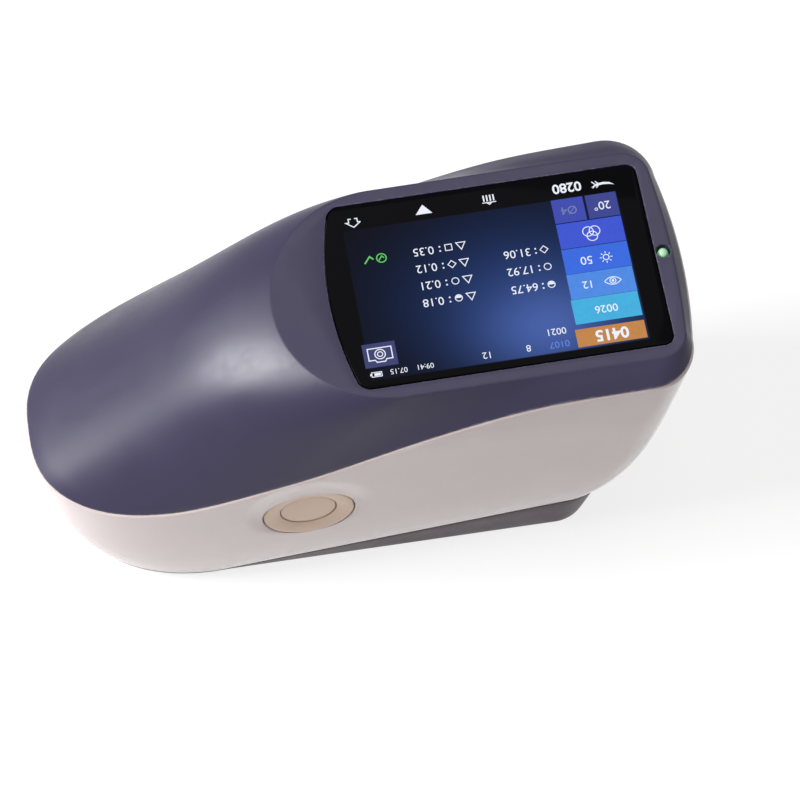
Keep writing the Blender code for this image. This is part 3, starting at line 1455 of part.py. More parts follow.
def make_view_optics(barrel_finish, lens_finish, camera_finish):
    start = view_exit() + VIEW_BOSS_RISE + FIT_GAP
    mesh = bmesh.new()
    profile = [
        (VIEW_BORE + FIT_GAP, 0), (BARREL_RADIUS, 0), (BARREL_RADIUS, BARREL_LENGTH),
        (VIEW_BORE + FIT_GAP, BARREL_LENGTH),
    ]
    turned(mesh, profile, ROUND_STEPS // 2, view_place(start))
    object_of("lens_barrel", mesh, barrel_finish)

    middle = BARREL_LENGTH * LENS_SEAT_share
    half = LENS_THICKNESS / 2
    edge = LENS_EDGE / 2
    profile = [(0, middle - half)]
    for share in (0.5, 1.0):
        profile.append((VIEW_BORE * share, middle - edge - (half - edge) * (1 - share**2)))
    for share in (1.0, 0.5):
        profile.append((VIEW_BORE * share, middle + edge + (half - edge) * (1 - share**2)))
    profile.append((0, middle + half))
    mesh = bmesh.new()
    turned(mesh, profile, ROUND_STEPS // 2, view_place(start))
    object_of("view_lens", mesh, lens_finish)

    x = PORT_X + CAMERA_FROM_PORT
    top = shelf_bottom() - FIT_GAP
    half = CAMERA_SIDE / 2
    mesh = bmesh.new()
    block(mesh, (x - half, -half, top - CAMERA_HEIGHT), (x + half, half, top))
    camera = object_of("camera_module", mesh, camera_finish)
    mesh = bmesh.new()
    dome = SPHERE_Z + sqrt(SPHERE_RADIUS**2 - (CAMERA_FROM_PORT - CAMERA_TUBE_RADIUS) ** 2)
    place = Matrix.Translation((x, 0, 0))
    low, high = dome + FIT_GAP, top - CAMERA_HEIGHT + JOIN_OVERLAP
    rod(mesh, CAMERA_TUBE_RADIUS, low, high, place, ROUND_STEPS // 2)
    join(camera, helper("camera_tube", mesh))


# Chassis and spectrometer


def make_chassis(finish, metal):
    """Plate that carries the sphere, with an upright wall and a shelf bent from it."""
    half = BASE.half_head - CHASSIS_INSET
    outline = rounded_rectangle(
        PORT_X - CHASSIS_TAIL_REACH, PORT_X + CHASSIS_HEAD_REACH, -half, half, CHASSIS_CORNER,
    )
    mesh = bmesh.new()
    prism(mesh, outline, CHASSIS_BOTTOM, CHASSIS_TOP)
    plate = object_of("chassis_plate", mesh, finish)
    join(plate, chassis_shelf())
    cut(plate, chassis_holes())
    top = SPHERE_Z + FIT_GAP / 2 + SPHERE_FLANGE_THICKNESS + FIT_GAP
    for number, place in enumerate(sphere_screw_places(), 1):
        screw(f"sphere_screw_{number}", place @ Matrix.Translation((0, 0, top)), metal, large=False)


def chassis_shelf():
    low = CHASSIS_TOP - JOIN_OVERLAP
    shelf = shelf_bottom()
    thick = SHELF_THICKNESS
    outline = [
        (SHELF_X - thick, low), (SHELF_X, low), (SHELF_X, shelf), (SHELF_X + SHELF_LENGTH, shelf),
        (SHELF_X + SHELF_LENGTH, shelf + thick), (SHELF_X - thick, shelf + thick),
    ]
    mesh = bmesh.new()
    prism(mesh, outline, -SHELF_WIDTH / 2, SHELF_WIDTH / 2, ALONG_Y)
    return helper("chassis_shelf", mesh)


def chassis_holes():
    low, high = CHASSIS_BOTTOM - CUT_OVERRUN, CHASSIS_TOP + CUT_OVERRUN
    mesh = bmesh.new()
    rod(mesh, SPHERE_RADIUS + SPHERE_HOLE_CLEARANCE, low, high, AT_PORT, ROUND_STEPS)
    for x, y in chassis_post_places():
        rod(mesh, LARGE_SHANK + SHAFT_GAP, low, high, Matrix.Translation((x, y, 0)))
    for place in sphere_screw_places():
        rod(mesh, SMALL_SHANK + SHAFT_GAP, low, high, place)
    start = view_exit() + VIEW_BOSS_RISE
    end = start + BARREL_LENGTH + CUT_OVERRUN
    rod(mesh, BARREL_RADIUS + FIT_GAP, start, end, view_place(), ROUND_STEPS // 2)
    return helper("chassis_holes", mesh)


def make_spectrometer(case_finish, grating_finish, board_finish):
    bottom = shelf_bottom() + SHELF_THICKNESS + FIT_GAP
    tail = SHELF_X - SHELF_THICKNESS
    head = tail + SPECTROMETER_LENGTH
    half = SPECTROMETER_WIDTH / 2
    wall = SPECTROMETER_WALL
    mesh = bmesh.new()
    outline = rounded_rectangle(tail, head, -half, half, SPECTROMETER_CORNER)
    prism(mesh, outline, bottom, bottom + SPECTROMETER_HEIGHT)
    case = object_of("spectrometer_case", mesh, case_finish)
    mesh = bmesh.new()
    outline = rounded_rectangle(
        tail + wall, head - wall, -half + wall, half - wall, SPECTROMETER_CORNER / 2,
    )
    prism(mesh, outline, bottom + wall, bottom + SPECTROMETER_HEIGHT + CUT_OVERRUN)
    cut(case, helper("case_hollow", mesh))
    mesh = bmesh.new()
    reach = view_exit() + VIEW_BOSS_RISE
    rod(mesh, ENTRANCE_RADIUS, reach, reach + BARREL_LENGTH * 2, view_place(), ROUND_STEPS // 2)
    cut(case, helper("case_entrance", mesh))

    mesh = bmesh.new()
    top = bottom + SPECTROMETER_HEIGHT + FIT_GAP
    outline = rounded_rectangle(tail, head, -half, half, SPECTROMETER_CORNER)
    prism(mesh, outline, top, top + SPECTROMETER_LID)
    object_of("spectrometer_lid", mesh, case_finish)
    make_grating(head - wall, bottom + wall + FIT_GAP, grating_finish)
    make_detector(tail, bottom, board_finish)


def make_grating(wall_x, bottom, finish):
    """Concave grating that stands on the case's floor at its head end."""
    mesh = bmesh.new()
    half = GRATING_LENGTH / 2
    hollow = GRATING_HOLLOW_RADIUS
    steps = 10
    outline = [(0, half), (0, -half)]
    sag = hollow - sqrt(hollow**2 - half**2)
    for step in range(steps + 1):
        y = -half + GRATING_LENGTH * step / steps
        outline.append((-GRATING_THICKNESS + sag - (hollow - sqrt(hollow**2 - y**2)), y))
    turn = Matrix.Rotation(GRATING_TURN, 4, "Z")
    back = half * sin(GRATING_TURN) + FIT_GAP
    place = Matrix.Translation((wall_x - back, 0, bottom)) @ turn
    prism(mesh, outline, 0, GRATING_HEIGHT, place)
    object_of("grating", mesh, finish)


def make_detector(case_x, bottom, finish):
    """Board with a line sensor on the tail wall of the spectrometer case."""
    mesh = bmesh.new()
    face = case_x - FIT_GAP
    low = bottom + (SPECTROMETER_HEIGHT - DETECTOR_HEIGHT) / 2
    half = DETECTOR_LENGTH / 2
    block(mesh, (face - BOARD_THICKNESS, -half, low), (face, half, low + DETECTOR_HEIGHT))
    board = object_of("detector_board", mesh, finish)
    mesh = bmesh.new()
    middle = low + DETECTOR_HEIGHT / 2
    half = SENSOR_LENGTH / 2
    back = face - BOARD_THICKNESS
    block(
        mesh, (back - SENSOR_THICKNESS, -half, middle - SENSOR_HEIGHT / 2),
        (back + JOIN_OVERLAP / 2, half, middle + SENSOR_HEIGHT / 2),
    )
    join(board, helper("line_sensor", mesh))


# Battery, main board and wiring


def make_battery(finish, pad_finish):
    """Battery pack in its ribs, held down by a soft pad under the main board."""
    tail, head = battery_ends()
    low = FLOOR_TOP + FIT_GAP
    half = BATTERY_WIDTH / 2
    mesh = bmesh.new()
    outline = rounded_rectangle(-half, half, low, low + BATTERY_HEIGHT, BATTERY_CORNER)
    along_x = Matrix.Rotation(pi / 2, 4, "Z") @ Matrix.Rotation(pi / 2, 4, "X")
    prism(mesh, outline, tail, head, along_x)
    object_of("battery_pack", mesh, finish)

    middle = (SHELL_POST_XS[0] + SHELL_POST_XS[1]) / 2
    mesh = bmesh.new()
    block(
        mesh, (middle - PAD_LENGTH / 2, PAD_INSET - half, low + BATTERY_HEIGHT + FIT_GAP),
        (middle + PAD_LENGTH / 2, half - PAD_INSET, MAIN_BOARD_BOTTOM - FIT_GAP),
    )
    object_of("battery_pad", mesh, pad_finish)


def ribbon_plug_x():
    return MAIN_BOARD_HEAD_X - PLUG_LENGTH * 2


def make_main_board(finish, cell_finish, ribbon_finish):
    tail, head = MAIN_BOARD_TAIL_X, MAIN_BOARD_HEAD_X
    half = MAIN_BOARD_WIDTH / 2
    mesh = bmesh.new()
    slant = MAIN_BOARD_CORNER
    corners = [(tail + slant, -half), (head, -half), (head, half), (tail + slant, half)]
    corners += [(tail, half - slant), (tail, slant - half)]
    prism(mesh, corners, MAIN_BOARD_BOTTOM, MAIN_BOARD_TOP)
    board = object_of("main_board", mesh, finish)
    mesh = bmesh.new()
    middle = (SHELL_POST_XS[0] + SHELL_POST_XS[1]) / 2
    low = MAIN_BOARD_TOP - JOIN_OVERLAP
    side = CHIP_SIDE / 2
    block(
        mesh, (middle - side, -CHIP_OFFSET - side, low),
        (middle + side, side - CHIP_OFFSET, MAIN_BOARD_TOP + CHIP_HEIGHT),
    )
    plug = ribbon_plug_x()
    block(
        mesh, (plug, -PLUG_WIDTH / 2, low),
        (plug + PLUG_LENGTH, PLUG_WIDTH / 2, MAIN_BOARD_TOP + PLUG_HEIGHT),
    )
    join(board, helper("board_components", mesh))
    mesh = bmesh.new()
    low, high = MAIN_BOARD_BOTTOM - CUT_OVERRUN, MAIN_BOARD_TOP + CUT_OVERRUN
    for x, y in shell_post_places():
        rod(mesh, SMALL_SHANK + SHAFT_GAP, low, high, Matrix.Translation((x, y, 0)))
    cut(board, helper("main_board_holes", mesh))

    mesh = bmesh.new()
    x = SHELL_POST_XS[0] + CELL_FROM_POST
    place = Matrix.Translation((x, CELL_OFFSET, MAIN_BOARD_TOP + FIT_GAP))
    rod(mesh, CELL_RADIUS, 0, CELL_HEIGHT, place, ROUND_STEPS // 2)
    object_of("clock_cell", mesh, cell_finish)
    make_ribbon(ribbon_finish)


def make_ribbon(finish):
    """Flat flexible cable from the display board down to its plug on the main board."""
    top = DISPLAY_BOARD_TOP - BOARD_THICKNESS - FIT_GAP - RIBBON_THICKNESS / 2
    end = MAIN_BOARD_TOP + PLUG_HEIGHT + FIT_GAP
    start_x = DISPLAY_HEAD_X - DISPLAY_BOARD_LENGTH + RIBBON_SLACK
    plug = ribbon_plug_x() + PLUG_LENGTH / 2
    drop = [
        (start_x + RIBBON_SLACK, top), (start_x, top), (start_x - RIBBON_SLACK, top - RIBBON_SLACK / 4),
        (start_x - RIBBON_SLACK * 1.6, top - RIBBON_SLACK), (plug - RIBBON_SLACK, top - RIBBON_SLACK * 3),
        (plug - RIBBON_SLACK, end + RIBBON_SLACK * 3), (plug - RIBBON_SLACK / 4, end + RIBBON_SLACK),
        (plug, end + RIBBON_SLACK / 3), (plug, end),
    ]
    mesh = bmesh.new()
    strip(mesh, drop, RIBBON_THICKNESS, RIBBON_WIDTH)
    object_of("display_ribbon", mesh, finish)


# Socket bay


def socket_xs():
    """Middles of the power jack, the data socket and the rocker, from the tail side."""
    around = PANEL_CLEARANCE + SOCKET_MARGIN
    jack = BAY_TAIL_X + around + JACK_LENGTH / 2
    usb = jack + JACK_LENGTH / 2 + PANEL_CLEARANCE + around + USB_LENGTH / 2
    rocker = usb + USB_LENGTH / 2 + around + ROCKER_RIM + ROCKER_BODY_LENGTH / 2
    return jack, usb, rocker


def rocker_height():
    return BAY_BOTTOM + BAY_HEIGHT / 2


def panel_cutouts():
    """Rectangles in the bay's floor, as low and high (x, z) corners."""
    jack, usb, rocker = socket_xs()
    gap = PANEL_CLEARANCE
    cutouts = []
    for x, length, height in ((jack, JACK_LENGTH, JACK_HEIGHT), (usb, USB_LENGTH, USB_HEIGHT)):
        low = (x - length / 2 - gap, SOCKET_BOTTOM - gap)
        cutouts.append((low, (x + length / 2 + gap, SOCKET_BOTTOM + height + gap)))
    length, height = ROCKER_BODY_LENGTH / 2 + gap, ROCKER_BODY_HEIGHT / 2 + gap
    middle = rocker_height()
    cutouts.append(((rocker - length, middle - height), (rocker + length, middle + height)))
    return cutouts


def make_sockets(metal, plastic):
    floor = bay_floor_y()
    front = floor + PANEL_PROUD
    jack_x, usb_x, _ = socket_xs()
    half = USB_LENGTH / 2
    mesh = bmesh.new()
    block(
        mesh, (usb_x - half, front - USB_DEPTH, SOCKET_BOTTOM),
        (usb_x + half, front, SOCKET_BOTTOM + USB_HEIGHT),
    )
    usb = object_of("data_socket", mesh, metal)
    middle = SOCKET_BOTTOM + USB_HEIGHT / 2
    mesh = bmesh.new()
    block(
        mesh, (usb_x - USB_MOUTH_LENGTH / 2, front - USB_MOUTH_DEPTH, middle - USB_MOUTH_HEIGHT / 2),
        (usb_x + USB_MOUTH_LENGTH / 2, front + CUT_OVERRUN, middle + USB_MOUTH_HEIGHT / 2),
    )
    cut(usb, helper("data_socket_mouth", mesh))
    mesh = bmesh.new()
    block(
        mesh,
        (
            usb_x - USB_TONGUE_LENGTH / 2, front - USB_MOUTH_DEPTH - JOIN_OVERLAP,
            middle - USB_TONGUE_HEIGHT / 2,
        ),
        (usb_x + USB_TONGUE_LENGTH / 2, front - JOIN_OVERLAP, middle + USB_TONGUE_HEIGHT / 2),
    )
    join(usb, helper("data_socket_tongue", mesh))

    half = JACK_LENGTH / 2
    mesh = bmesh.new()
    block(
        mesh, (jack_x - half, front - JACK_DEPTH, SOCKET_BOTTOM),
        (jack_x + half, front, SOCKET_BOTTOM + JACK_HEIGHT),
    )
    jack = object_of("power_jack", mesh, plastic)
    place = Matrix.Translation((jack_x, front, SOCKET_BOTTOM + JACK_HEIGHT / 2)) @ ALONG_BACK
    profile = [
        (JACK_PIN, -JACK_BORE_DEPTH), (JACK_BORE, -JACK_BORE_DEPTH), (JACK_BORE, CUT_OVERRUN),
        (0, CUT_OVERRUN), (0, -JOIN_OVERLAP), (JACK_PIN, -JOIN_OVERLAP),
    ]
    mesh = bmesh.new()
    turned(mesh, profile, SMALL_STEPS * 2, place)
    cut(jack, helper("power_jack_bore", mesh))


def make_rocker(body_finish, rocker_finish):
    """Snap-in switch body and its rocker, which tilts about an upright axis."""
    floor = bay_floor_y()
    x, middle = socket_xs()[2], rocker_height()
    half_length, half_height = ROCKER_BODY_LENGTH / 2, ROCKER_BODY_HEIGHT / 2
    rim_back = floor + FIT_GAP
    rim_front = rim_back + ROCKER_RIM_THICKNESS
    mesh = bmesh.new()
    block(
        mesh, (x - half_length, rim_front - ROCKER_BODY_DEPTH, middle - half_height),
        (x + half_length, rim_back + FIT_GAP, middle + half_height),
    )
    body = object_of("rocker_body", mesh, body_finish)
    mesh = bmesh.new()
    block(
        mesh, (x - half_length - ROCKER_RIM, rim_back, middle - half_height - ROCKER_RIM),
        (x + half_length + ROCKER_RIM, rim_front, middle + half_height + ROCKER_RIM),
    )
    join(body, helper("rocker_rim", mesh))
    inner_length, inner_height = half_length - ROCKER_WALL, half_height - ROCKER_WALL
    mesh = bmesh.new()
    block(
        mesh, (x - inner_length, rim_front - ROCKER_CAVITY_DEPTH, middle - inner_height),
        (x + inner_length, rim_front + CUT_OVERRUN, middle + inner_height),
    )
    cut(body, helper("rocker_cavity", mesh))

    axis = bpy.data.objects.new("power_rocker_axis", None)
    bpy.context.collection.objects.link(axis)
    pivot = (x, rim_front - ROCKER_PROUD, middle)
    axis.location = pivot
    reach = (inner_length - ROCKER_CLEARANCE) * cos(ROCKER_SWING / 2)
    deep = -ROCKER_BELLY
    outline = [
        (-reach, 0), (-reach / 2, deep * 0.8), (0, deep), (reach / 2, deep * 0.8), (reach, 0),
        (reach, ROCKER_PROUD), (0, ROCKER_PROUD - reach * sin(ROCKER_SWING / 2) * 0.6),
        (-reach, ROCKER_PROUD),
    ]
    place = Matrix.Translation(pivot) @ Matrix.Rotation(-ROCKER_SWING / 2, 4, "Z")
    mesh = bmesh.new()
    height = inner_height - FIT_GAP
    prism(mesh, outline, -height, height, place)
    object_of("power_rocker", mesh, rocker_finish, axis, pivot)


# Assembly


def make_materials():
    """Finishes by name: colour, roughness, metallic weight and transmission."""
    table = {
        "slate_satin": ((0.098, 0.094, 0.150), 0.38),
        "pale_gloss": ((0.560, 0.500, 0.480), 0.16),
        "dark_grey_moulding": ((0.110, 0.105, 0.115), 0.45),
        "warm_grey_moulding": ((0.500, 0.430, 0.330), 0.50),
        "black_moulding": ((0.020, 0.020, 0.022), 0.50),
        "screen_black": ((0.006, 0.007, 0.012), 0.06),
        "panel_grey": ((0.080, 0.085, 0.100), 0.35),
        "soft_black": ((0.025, 0.025, 0.025), 0.85),
        "pale_green_lens": ((0.420, 0.700, 0.450), 0.20),
        "board_green": ((0.020, 0.110, 0.050), 0.45),
        "sphere_white": ((0.900, 0.890, 0.870), 0.80),
        "battery_wrap": ((0.050, 0.110, 0.250), 0.40),
        "ribbon_amber": ((0.420, 0.180, 0.040), 0.35),
    }
    finishes = {name: material(name, *values) for name, values in table.items()}
    finishes["steel"] = material("steel", (0.62, 0.62, 0.60), 0.30, 1.0)
    finishes["anodised"] = material("anodised", (0.090, 0.090, 0.100), 0.40, 0.8)
    finishes["aluminium"] = material("aluminium", (0.720, 0.720, 0.730), 0.35, 1.0)
    finishes["lens_glass"] = material("lens_glass", (0.950, 0.970, 0.980), 0.03, 0.0, 0.9)
    return finishes


def make_part():
    clear_scene()
    use = make_materials()
    make_cover(use["slate_satin"])
    make_shell(use["pale_gloss"])
    make_base(use["dark_grey_moulding"])
    make_feet(use["soft_black"])
    make_casing_screws(use["steel"])
    make_screen(use["screen_black"], use["soft_black"], use["panel_grey"], use["board_green"])
    make_status_light(use["pale_green_lens"])
    make_button(
        use["warm_grey_moulding"], use["warm_grey_moulding"], use["black_moulding"],
        use["board_green"],
    )
    make_aperture(use["black_moulding"], use["anodised"])
    make_sphere(use["sphere_white"])
    make_lamp_board(use["board_green"])
    make_view_optics(use["anodised"], use["lens_glass"], use["black_moulding"])
    make_chassis(use["aluminium"], use["steel"])
    make_spectrometer(use["anodised"], use["lens_glass"], use["board_green"])
    make_battery(use["battery_wrap"], use["soft_black"])
    make_main_board(use["board_green"], use["steel"], use["ribbon_amber"])
    make_sockets(use["steel"], use["black_moulding"])
    make_rocker(use["black_moulding"], use["black_moulding"])


make_part()
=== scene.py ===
import json
from math import cos, pi, radians, sin

import bmesh
import bpy
import numpy as np
from mathutils import Matrix, Vector


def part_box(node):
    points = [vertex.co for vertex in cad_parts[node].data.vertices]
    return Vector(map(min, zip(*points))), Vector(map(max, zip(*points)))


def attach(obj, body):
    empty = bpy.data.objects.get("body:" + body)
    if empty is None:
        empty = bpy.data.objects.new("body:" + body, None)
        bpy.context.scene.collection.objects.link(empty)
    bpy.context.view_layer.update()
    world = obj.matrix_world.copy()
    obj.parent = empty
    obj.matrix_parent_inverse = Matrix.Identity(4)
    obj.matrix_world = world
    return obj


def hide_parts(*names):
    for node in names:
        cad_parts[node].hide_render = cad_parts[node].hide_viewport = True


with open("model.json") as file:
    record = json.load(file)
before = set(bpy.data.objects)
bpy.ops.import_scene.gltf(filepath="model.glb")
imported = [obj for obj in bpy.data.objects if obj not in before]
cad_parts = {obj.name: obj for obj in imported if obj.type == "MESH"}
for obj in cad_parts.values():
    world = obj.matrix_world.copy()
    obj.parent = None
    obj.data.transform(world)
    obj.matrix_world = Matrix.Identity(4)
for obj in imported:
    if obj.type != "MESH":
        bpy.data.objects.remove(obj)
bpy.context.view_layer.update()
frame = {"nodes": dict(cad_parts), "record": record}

NODES = frame["nodes"]

# Sizes of the casing, in metres, as in the CAD source
FIT_GAP = 0.0003
OVERRUN = 0.0040
BODY_LENGTH, BODY_HEIGHT = 0.1824, 0.1040
HEAD_WIDTH, GRIP_WIDTH = 0.0782, 0.0758
FOOT_PROUD = 0.0012
SEAM_LINE = (
    (0.0, 0.4862), (0.088, 0.4982), (0.186, 0.5456), (0.329, 0.6546), (0.439, 0.7304),
    (0.582, 0.8435), (0.752, 0.9345), (0.889, 0.9523), (1.0, 0.9563),
)
LIP_AT_TAIL, LIP_AT_HEAD, LIP_RISE = 0.0004, 0.0006, 1.5
EDGE_TAIL_HEIGHT, EDGE_HEAD_HEIGHT = 0.0050, 0.0190
EDGE_RISE = (0.258, 0.84)
WALL_LEAN, WALL_ROUND_POWER = 0.55, 5.0
COVER_SWELL_REACH, COVER_FOOT = 0.0300, 0.0036
COVER_LEAN, COVER_RISE, COVER_REACH, COVER_DROP = 0.60, 0.54, 0.38, 0.20
SHELL_WALL, COVER_WALL, BASE_WALL = 0.0022, 0.0022, 0.0024
DECK_SOFT, THIN_EDGE, FINE_SOFT, BASE_SOFT = 0.0005, 0.00018, 0.0002, 0.0005
SHELL_LOW_SOFT, LIP_ROUND_SHARE = 0.00030, 0.9
DECK_THICKNESS, DECK_INNER_INSET = 0.0036, 0.0016
BASE_FLOOR = 0.0026
GLASS_X = (-0.0013, 0.0831)
GLASS_HALF_WIDTH, GLASS_CORNER, GLASS_BOW, GLASS_THICKNESS = 0.0277, 0.0026, 0.0042, 0.0014
GLASS_SOFT, POCKET_DEPTH = 0.00025, 0.0025
WINDOW_X, WINDOW_HALF, WINDOW_CORNER, WINDOW_DEPTH = (0.0029, 0.0794), 0.0260, 0.0010, 0.0076
LIGHT_X, LIGHT_RADIUS, LIGHT_FLANGE = 0.0857, 0.0016, 0.0006
LIGHT_MOUTH = ((0, -0.0005), (0.00009, -0.00022), (0.0003, 0), (0.0043, 0.0040))
LENS_GROOVE, LENS_RISE, LENS_RIM_DEPTHS = 0.0002, 0.0009, (0.0016, 0.0018)
PORT_X, PORT_HOLE = 0.0431, 0.0148
RING_RADIUS, RING_BORE, RING_DISH, RING_SOFT = 0.0127, 0.0080, 0.0009, 0.0005
RING_LIP, RING_LIP_TOP, RING_FLANGE, RING_FLANGE_THICKNESS = 0.00022, 0.00006, 0.0016, 0.0015
BUTTON_SINK, PAD_DEPTH, PAD_MARGIN, BUTTON_CUT_TOP = 0.0008, 0.0044, 0.0074, 0.0060
BUTTON_FACE, BUTTON_CROWN, BUTTON_SOFT = 0.0008, 0.0003, 0.0004
BUTTON_FLANGE, BUTTON_FLANGE_THICKNESS = 0.0014, 0.0012
STEM_RADIUS, STEM_LENGTH = 0.0025, 0.0028
RING_HOLE, RING_FRONT = RING_RADIUS + FIT_GAP, PAD_DEPTH + FIT_GAP
SCOOP_WIDTH, SCOOP_POWER, SCOOP_SOFT = 0.0042, 1.15, 0.00022
COVER_POST_RADIUS, BOARD_POST_RADIUS, CHASSIS_POST_RADIUS = 0.0026, 0.0032, 0.0028
RIB_THICKNESS, RIB_ABOVE_EDGE, RIB_BELOW_POST, POST_SINK = 0.0030, 0.0030, 0.0010, 0.0010
LUG_HALF, LUG_HEIGHT = 0.0038, 0.0030
STAKE_REACH, STAKE_RADII = 0.0175, (0.0019, 0.0011, 0.0024)
STAKE_LEVELS = (-0.0192, -0.0183, -0.0161)
SCREW_HOLE, PILOT_HOLE, SCREW_DEPTH, PILOT_DEPTH = 0.00155, 0.0011, 0.0090, 0.0050
COVER_HOLE_DEPTH, SCREW_RECESS_RADIUS, SCREW_RECESS, FOOT_RECESS = 0.0063, 0.0025, 0.0016, 0.0008
HEAD_RADIUS, HEAD_HEIGHT, SHANK_RADIUS = 0.0022, 0.0013, 0.00125
BATTERY_RIB_THICKNESS, BATTERY_RIB_HALF, BATTERY_RIB_HEIGHT = 0.0016, 0.0080, 0.0030
APERTURE_RADII, SLEEVE_RADII, APERTURE_FLANGE = (0.0040, 0.0145), (0.0107, 0.0095), 0.0021
LUG_REACH, BAYONET_HALF, BAYONET_DROPS = (0.0101, 0.0124), 0.0025, (0.0011, 0.0001)
SPANNER_REACH, SPANNER_HOLE = 0.0120, ((0.0013, 0), (0.0011, 0.0002), (0.0011, 0.0010), (0, 0.0010))
CONTACT_LANE, CONTACT_HALF = 0.0012, 0.0005
CONTACT_HEIGHTS, CONTACT_DEPTHS = (0.0015, 0.0018), (0.0016, 0.0080)
BAY_X, BAY_Z, BAY_CORNER = (-0.0519, -0.0109), (0.0265, 0.0425), 0.0030
SOCKET_MARGINS = (("power_jack", 0.0004), ("data_socket", 0.0004), ("rocker_body", -0.0008))
HEAD_X, TAIL_X = BODY_LENGTH / 2, -BODY_LENGTH / 2
GLASS_TOP = BODY_HEIGHT - 0.0001
FLOOR_TOP = FOOT_PROUD + BASE_FLOOR

# Steps of the fine outlines: tip and flank of the tail, sides, corners and head end
TIP_STEPS, FLANK_STEPS, SIDE_STEPS, CORNER_STEPS, END_STEPS = 30, 56, 56, 16, 12
TURN_STEPS, ROUND_STEPS = 96, 128
PATH_STEPS, COVER_RINGS, COVER_INNER_RINGS, SHELL_RINGS = 161, 34, 12, 58
SHELL_INNER_SHARES = (0.985, 0.8, 0.6, 0.4, 0.26, 0.16, 0.09, 0.04, 0)
SIDE_POINT = 40

ALONG_Y = Matrix.Rotation(pi / 2, 4, "X")
ALONG_BACK = Matrix.Rotation(-pi / 2, 4, "X")


# Casing outlines, by the same rules as in the CAD source


def tail_turns():
    """Angles round the tail that space its points evenly, in y at the tip and in x on the flank."""
    middle = (pi / 4, cos(pi / 4) ** (2 / 2.3))
    tip = np.arcsin((np.linspace(0, middle[1], TIP_STEPS + 1)) ** (2.3 / 2))
    flank = np.arccos((np.linspace(middle[1], 0, FLANK_STEPS + 1)[1:]) ** (2.3 / 2))
    return np.concatenate([tip, flank])


def outline(tail, head, half, reach, power, corner, bow, half_head):
    """D-shaped ring of (x, y): rounded tail, straight sides, head with round corners."""
    join = tail + reach
    turn = tail_turns()
    along = np.maximum(np.cos(turn), 0) ** (2 / power)
    across = np.sin(turn) ** (2 / power)
    parts = [np.column_stack([join - reach * along, -half * across])]
    corner_x = head - bow - corner
    share = np.linspace(0, 1, SIDE_STEPS + 1)[1:]
    side = half + (half_head - half) * share
    parts.append(np.column_stack([join + (corner_x - join) * share, -side]))
    corner_y = half_head - corner
    turn = np.linspace(0, pi / 2, CORNER_STEPS + 1)[1:]
    x, y = corner_x + corner * np.sin(turn), -corner_y - corner * np.cos(turn)
    parts.append(np.column_stack([x, y]))
    share = 1 - np.linspace(0, 1, END_STEPS + 1)[1:]
    parts.append(np.column_stack([head - bow * share**2, -corner_y * share]))
    near = np.vstack(parts)
    return np.vstack([near, near[-2:0:-1] * (1, -1)])


def casing_outline(tail_inset, head_inset, side_inset, reach, power, corner, bow):
    """An outline set in from the casing's ends and sides."""
    half, half_head = GRIP_WIDTH / 2 - side_inset, HEAD_WIDTH / 2 - side_inset
    tail, head = TAIL_X + tail_inset, HEAD_X - head_inset
    return outline(tail, head, half, reach, power, corner, bow, half_head)


SEAM = casing_outline(0, 0, 0, 0.0850, 2.7, 0.0138, 0.0022)
EDGE = casing_outline(0.0098, 0.0202, 0.0080, 0.0405, 2.3, 0.0120, 0.0004)
BASE = casing_outline(0.0123, 0.0242, 0.0096, 0.0380, 2.3, 0.0110, 0.0004)
DECK = outline(-0.0212, HEAD_X - 0.0032, 0.0316, 0.0323, 2.05, 0.0075, 0.0012, 0.0316)


def smooth_through(points, at):
    xs, ys = np.array(points).T
    slopes = np.gradient(ys, xs)
    index = np.clip(np.searchsorted(xs, at) - 1, 0, len(xs) - 2)
    span = xs[index + 1] - xs[index]
    t = (at - xs[index]) / span
    return (
        ys[index] * (1 + 2 * t) * (1 - t) ** 2
        + ys[index + 1] * t**2 * (3 - 2 * t)
        + slopes[index] * span * t * (1 - t) ** 2
        - slopes[index + 1] * span * t**2 * (1 - t)
    )


def length_share(x):
    return (np.asarray(x) - TAIL_X) / BODY_LENGTH


def seam_height(x):
    return BODY_HEIGHT * smooth_through(SEAM_LINE, length_share(x))


def edge_height(x):
    rise = (length_share(x) - EDGE_RISE[0]) / (EDGE_RISE[1] - EDGE_RISE[0])
    return EDGE_TAIL_HEIGHT + (EDGE_HEAD_HEIGHT - EDGE_TAIL_HEIGHT) * np.clip(rise, 0, 1)


def with_height(plan, height):
    return np.column_stack([plan, np.broadcast_to(height, len(plan))])


def inset(ring, distance):
    along = np.roll(ring, -1, 0)[:, :2] - np.roll(ring, 1, 0)[:, :2]
    along /= np.linalg.norm(along, axis=1)[:, None]
    inward = np.column_stack([-along[:, 1], along[:, 0]])
    moved = ring.copy()
    moved[:, :2] += inward * np.broadcast_to(distance, len(ring))[:, None]
    return moved


def raised(ring, height):
    moved = ring.copy()
    moved[:, 2] += height
    return moved


def lip_widths():
    share = np.clip(length_share(SEAM[:, 0]) * 4 - 2, 0, 1)
    return LIP_AT_TAIL + (LIP_AT_HEAD - LIP_AT_TAIL) * share**2 * (3 - 2 * share)


def seam_ring():
    return with_height(SEAM, seam_height(SEAM[:, 0]))


def edge_ring():
    return with_height(EDGE, edge_height(EDGE[:, 0]))


def rim_ring():
    lip = lip_widths()
    return raised(inset(seam_ring(), lip), lip * LIP_RISE)


def wall_ring(share):
    """Ring of the wall at a share of its height; the share may have one value per point."""
    low, high = edge_ring(), seam_ring()
    left = (1 - np.broadcast_to(share, len(low)))[:, None]
    inwards = WALL_LEAN * left + (1 - WALL_LEAN) * left**WALL_ROUND_POWER
    ring = low * left + high * (1 - left)
    ring[:, :2] = low[:, :2] * inwards + high[:, :2] * (1 - inwards)
    return ring


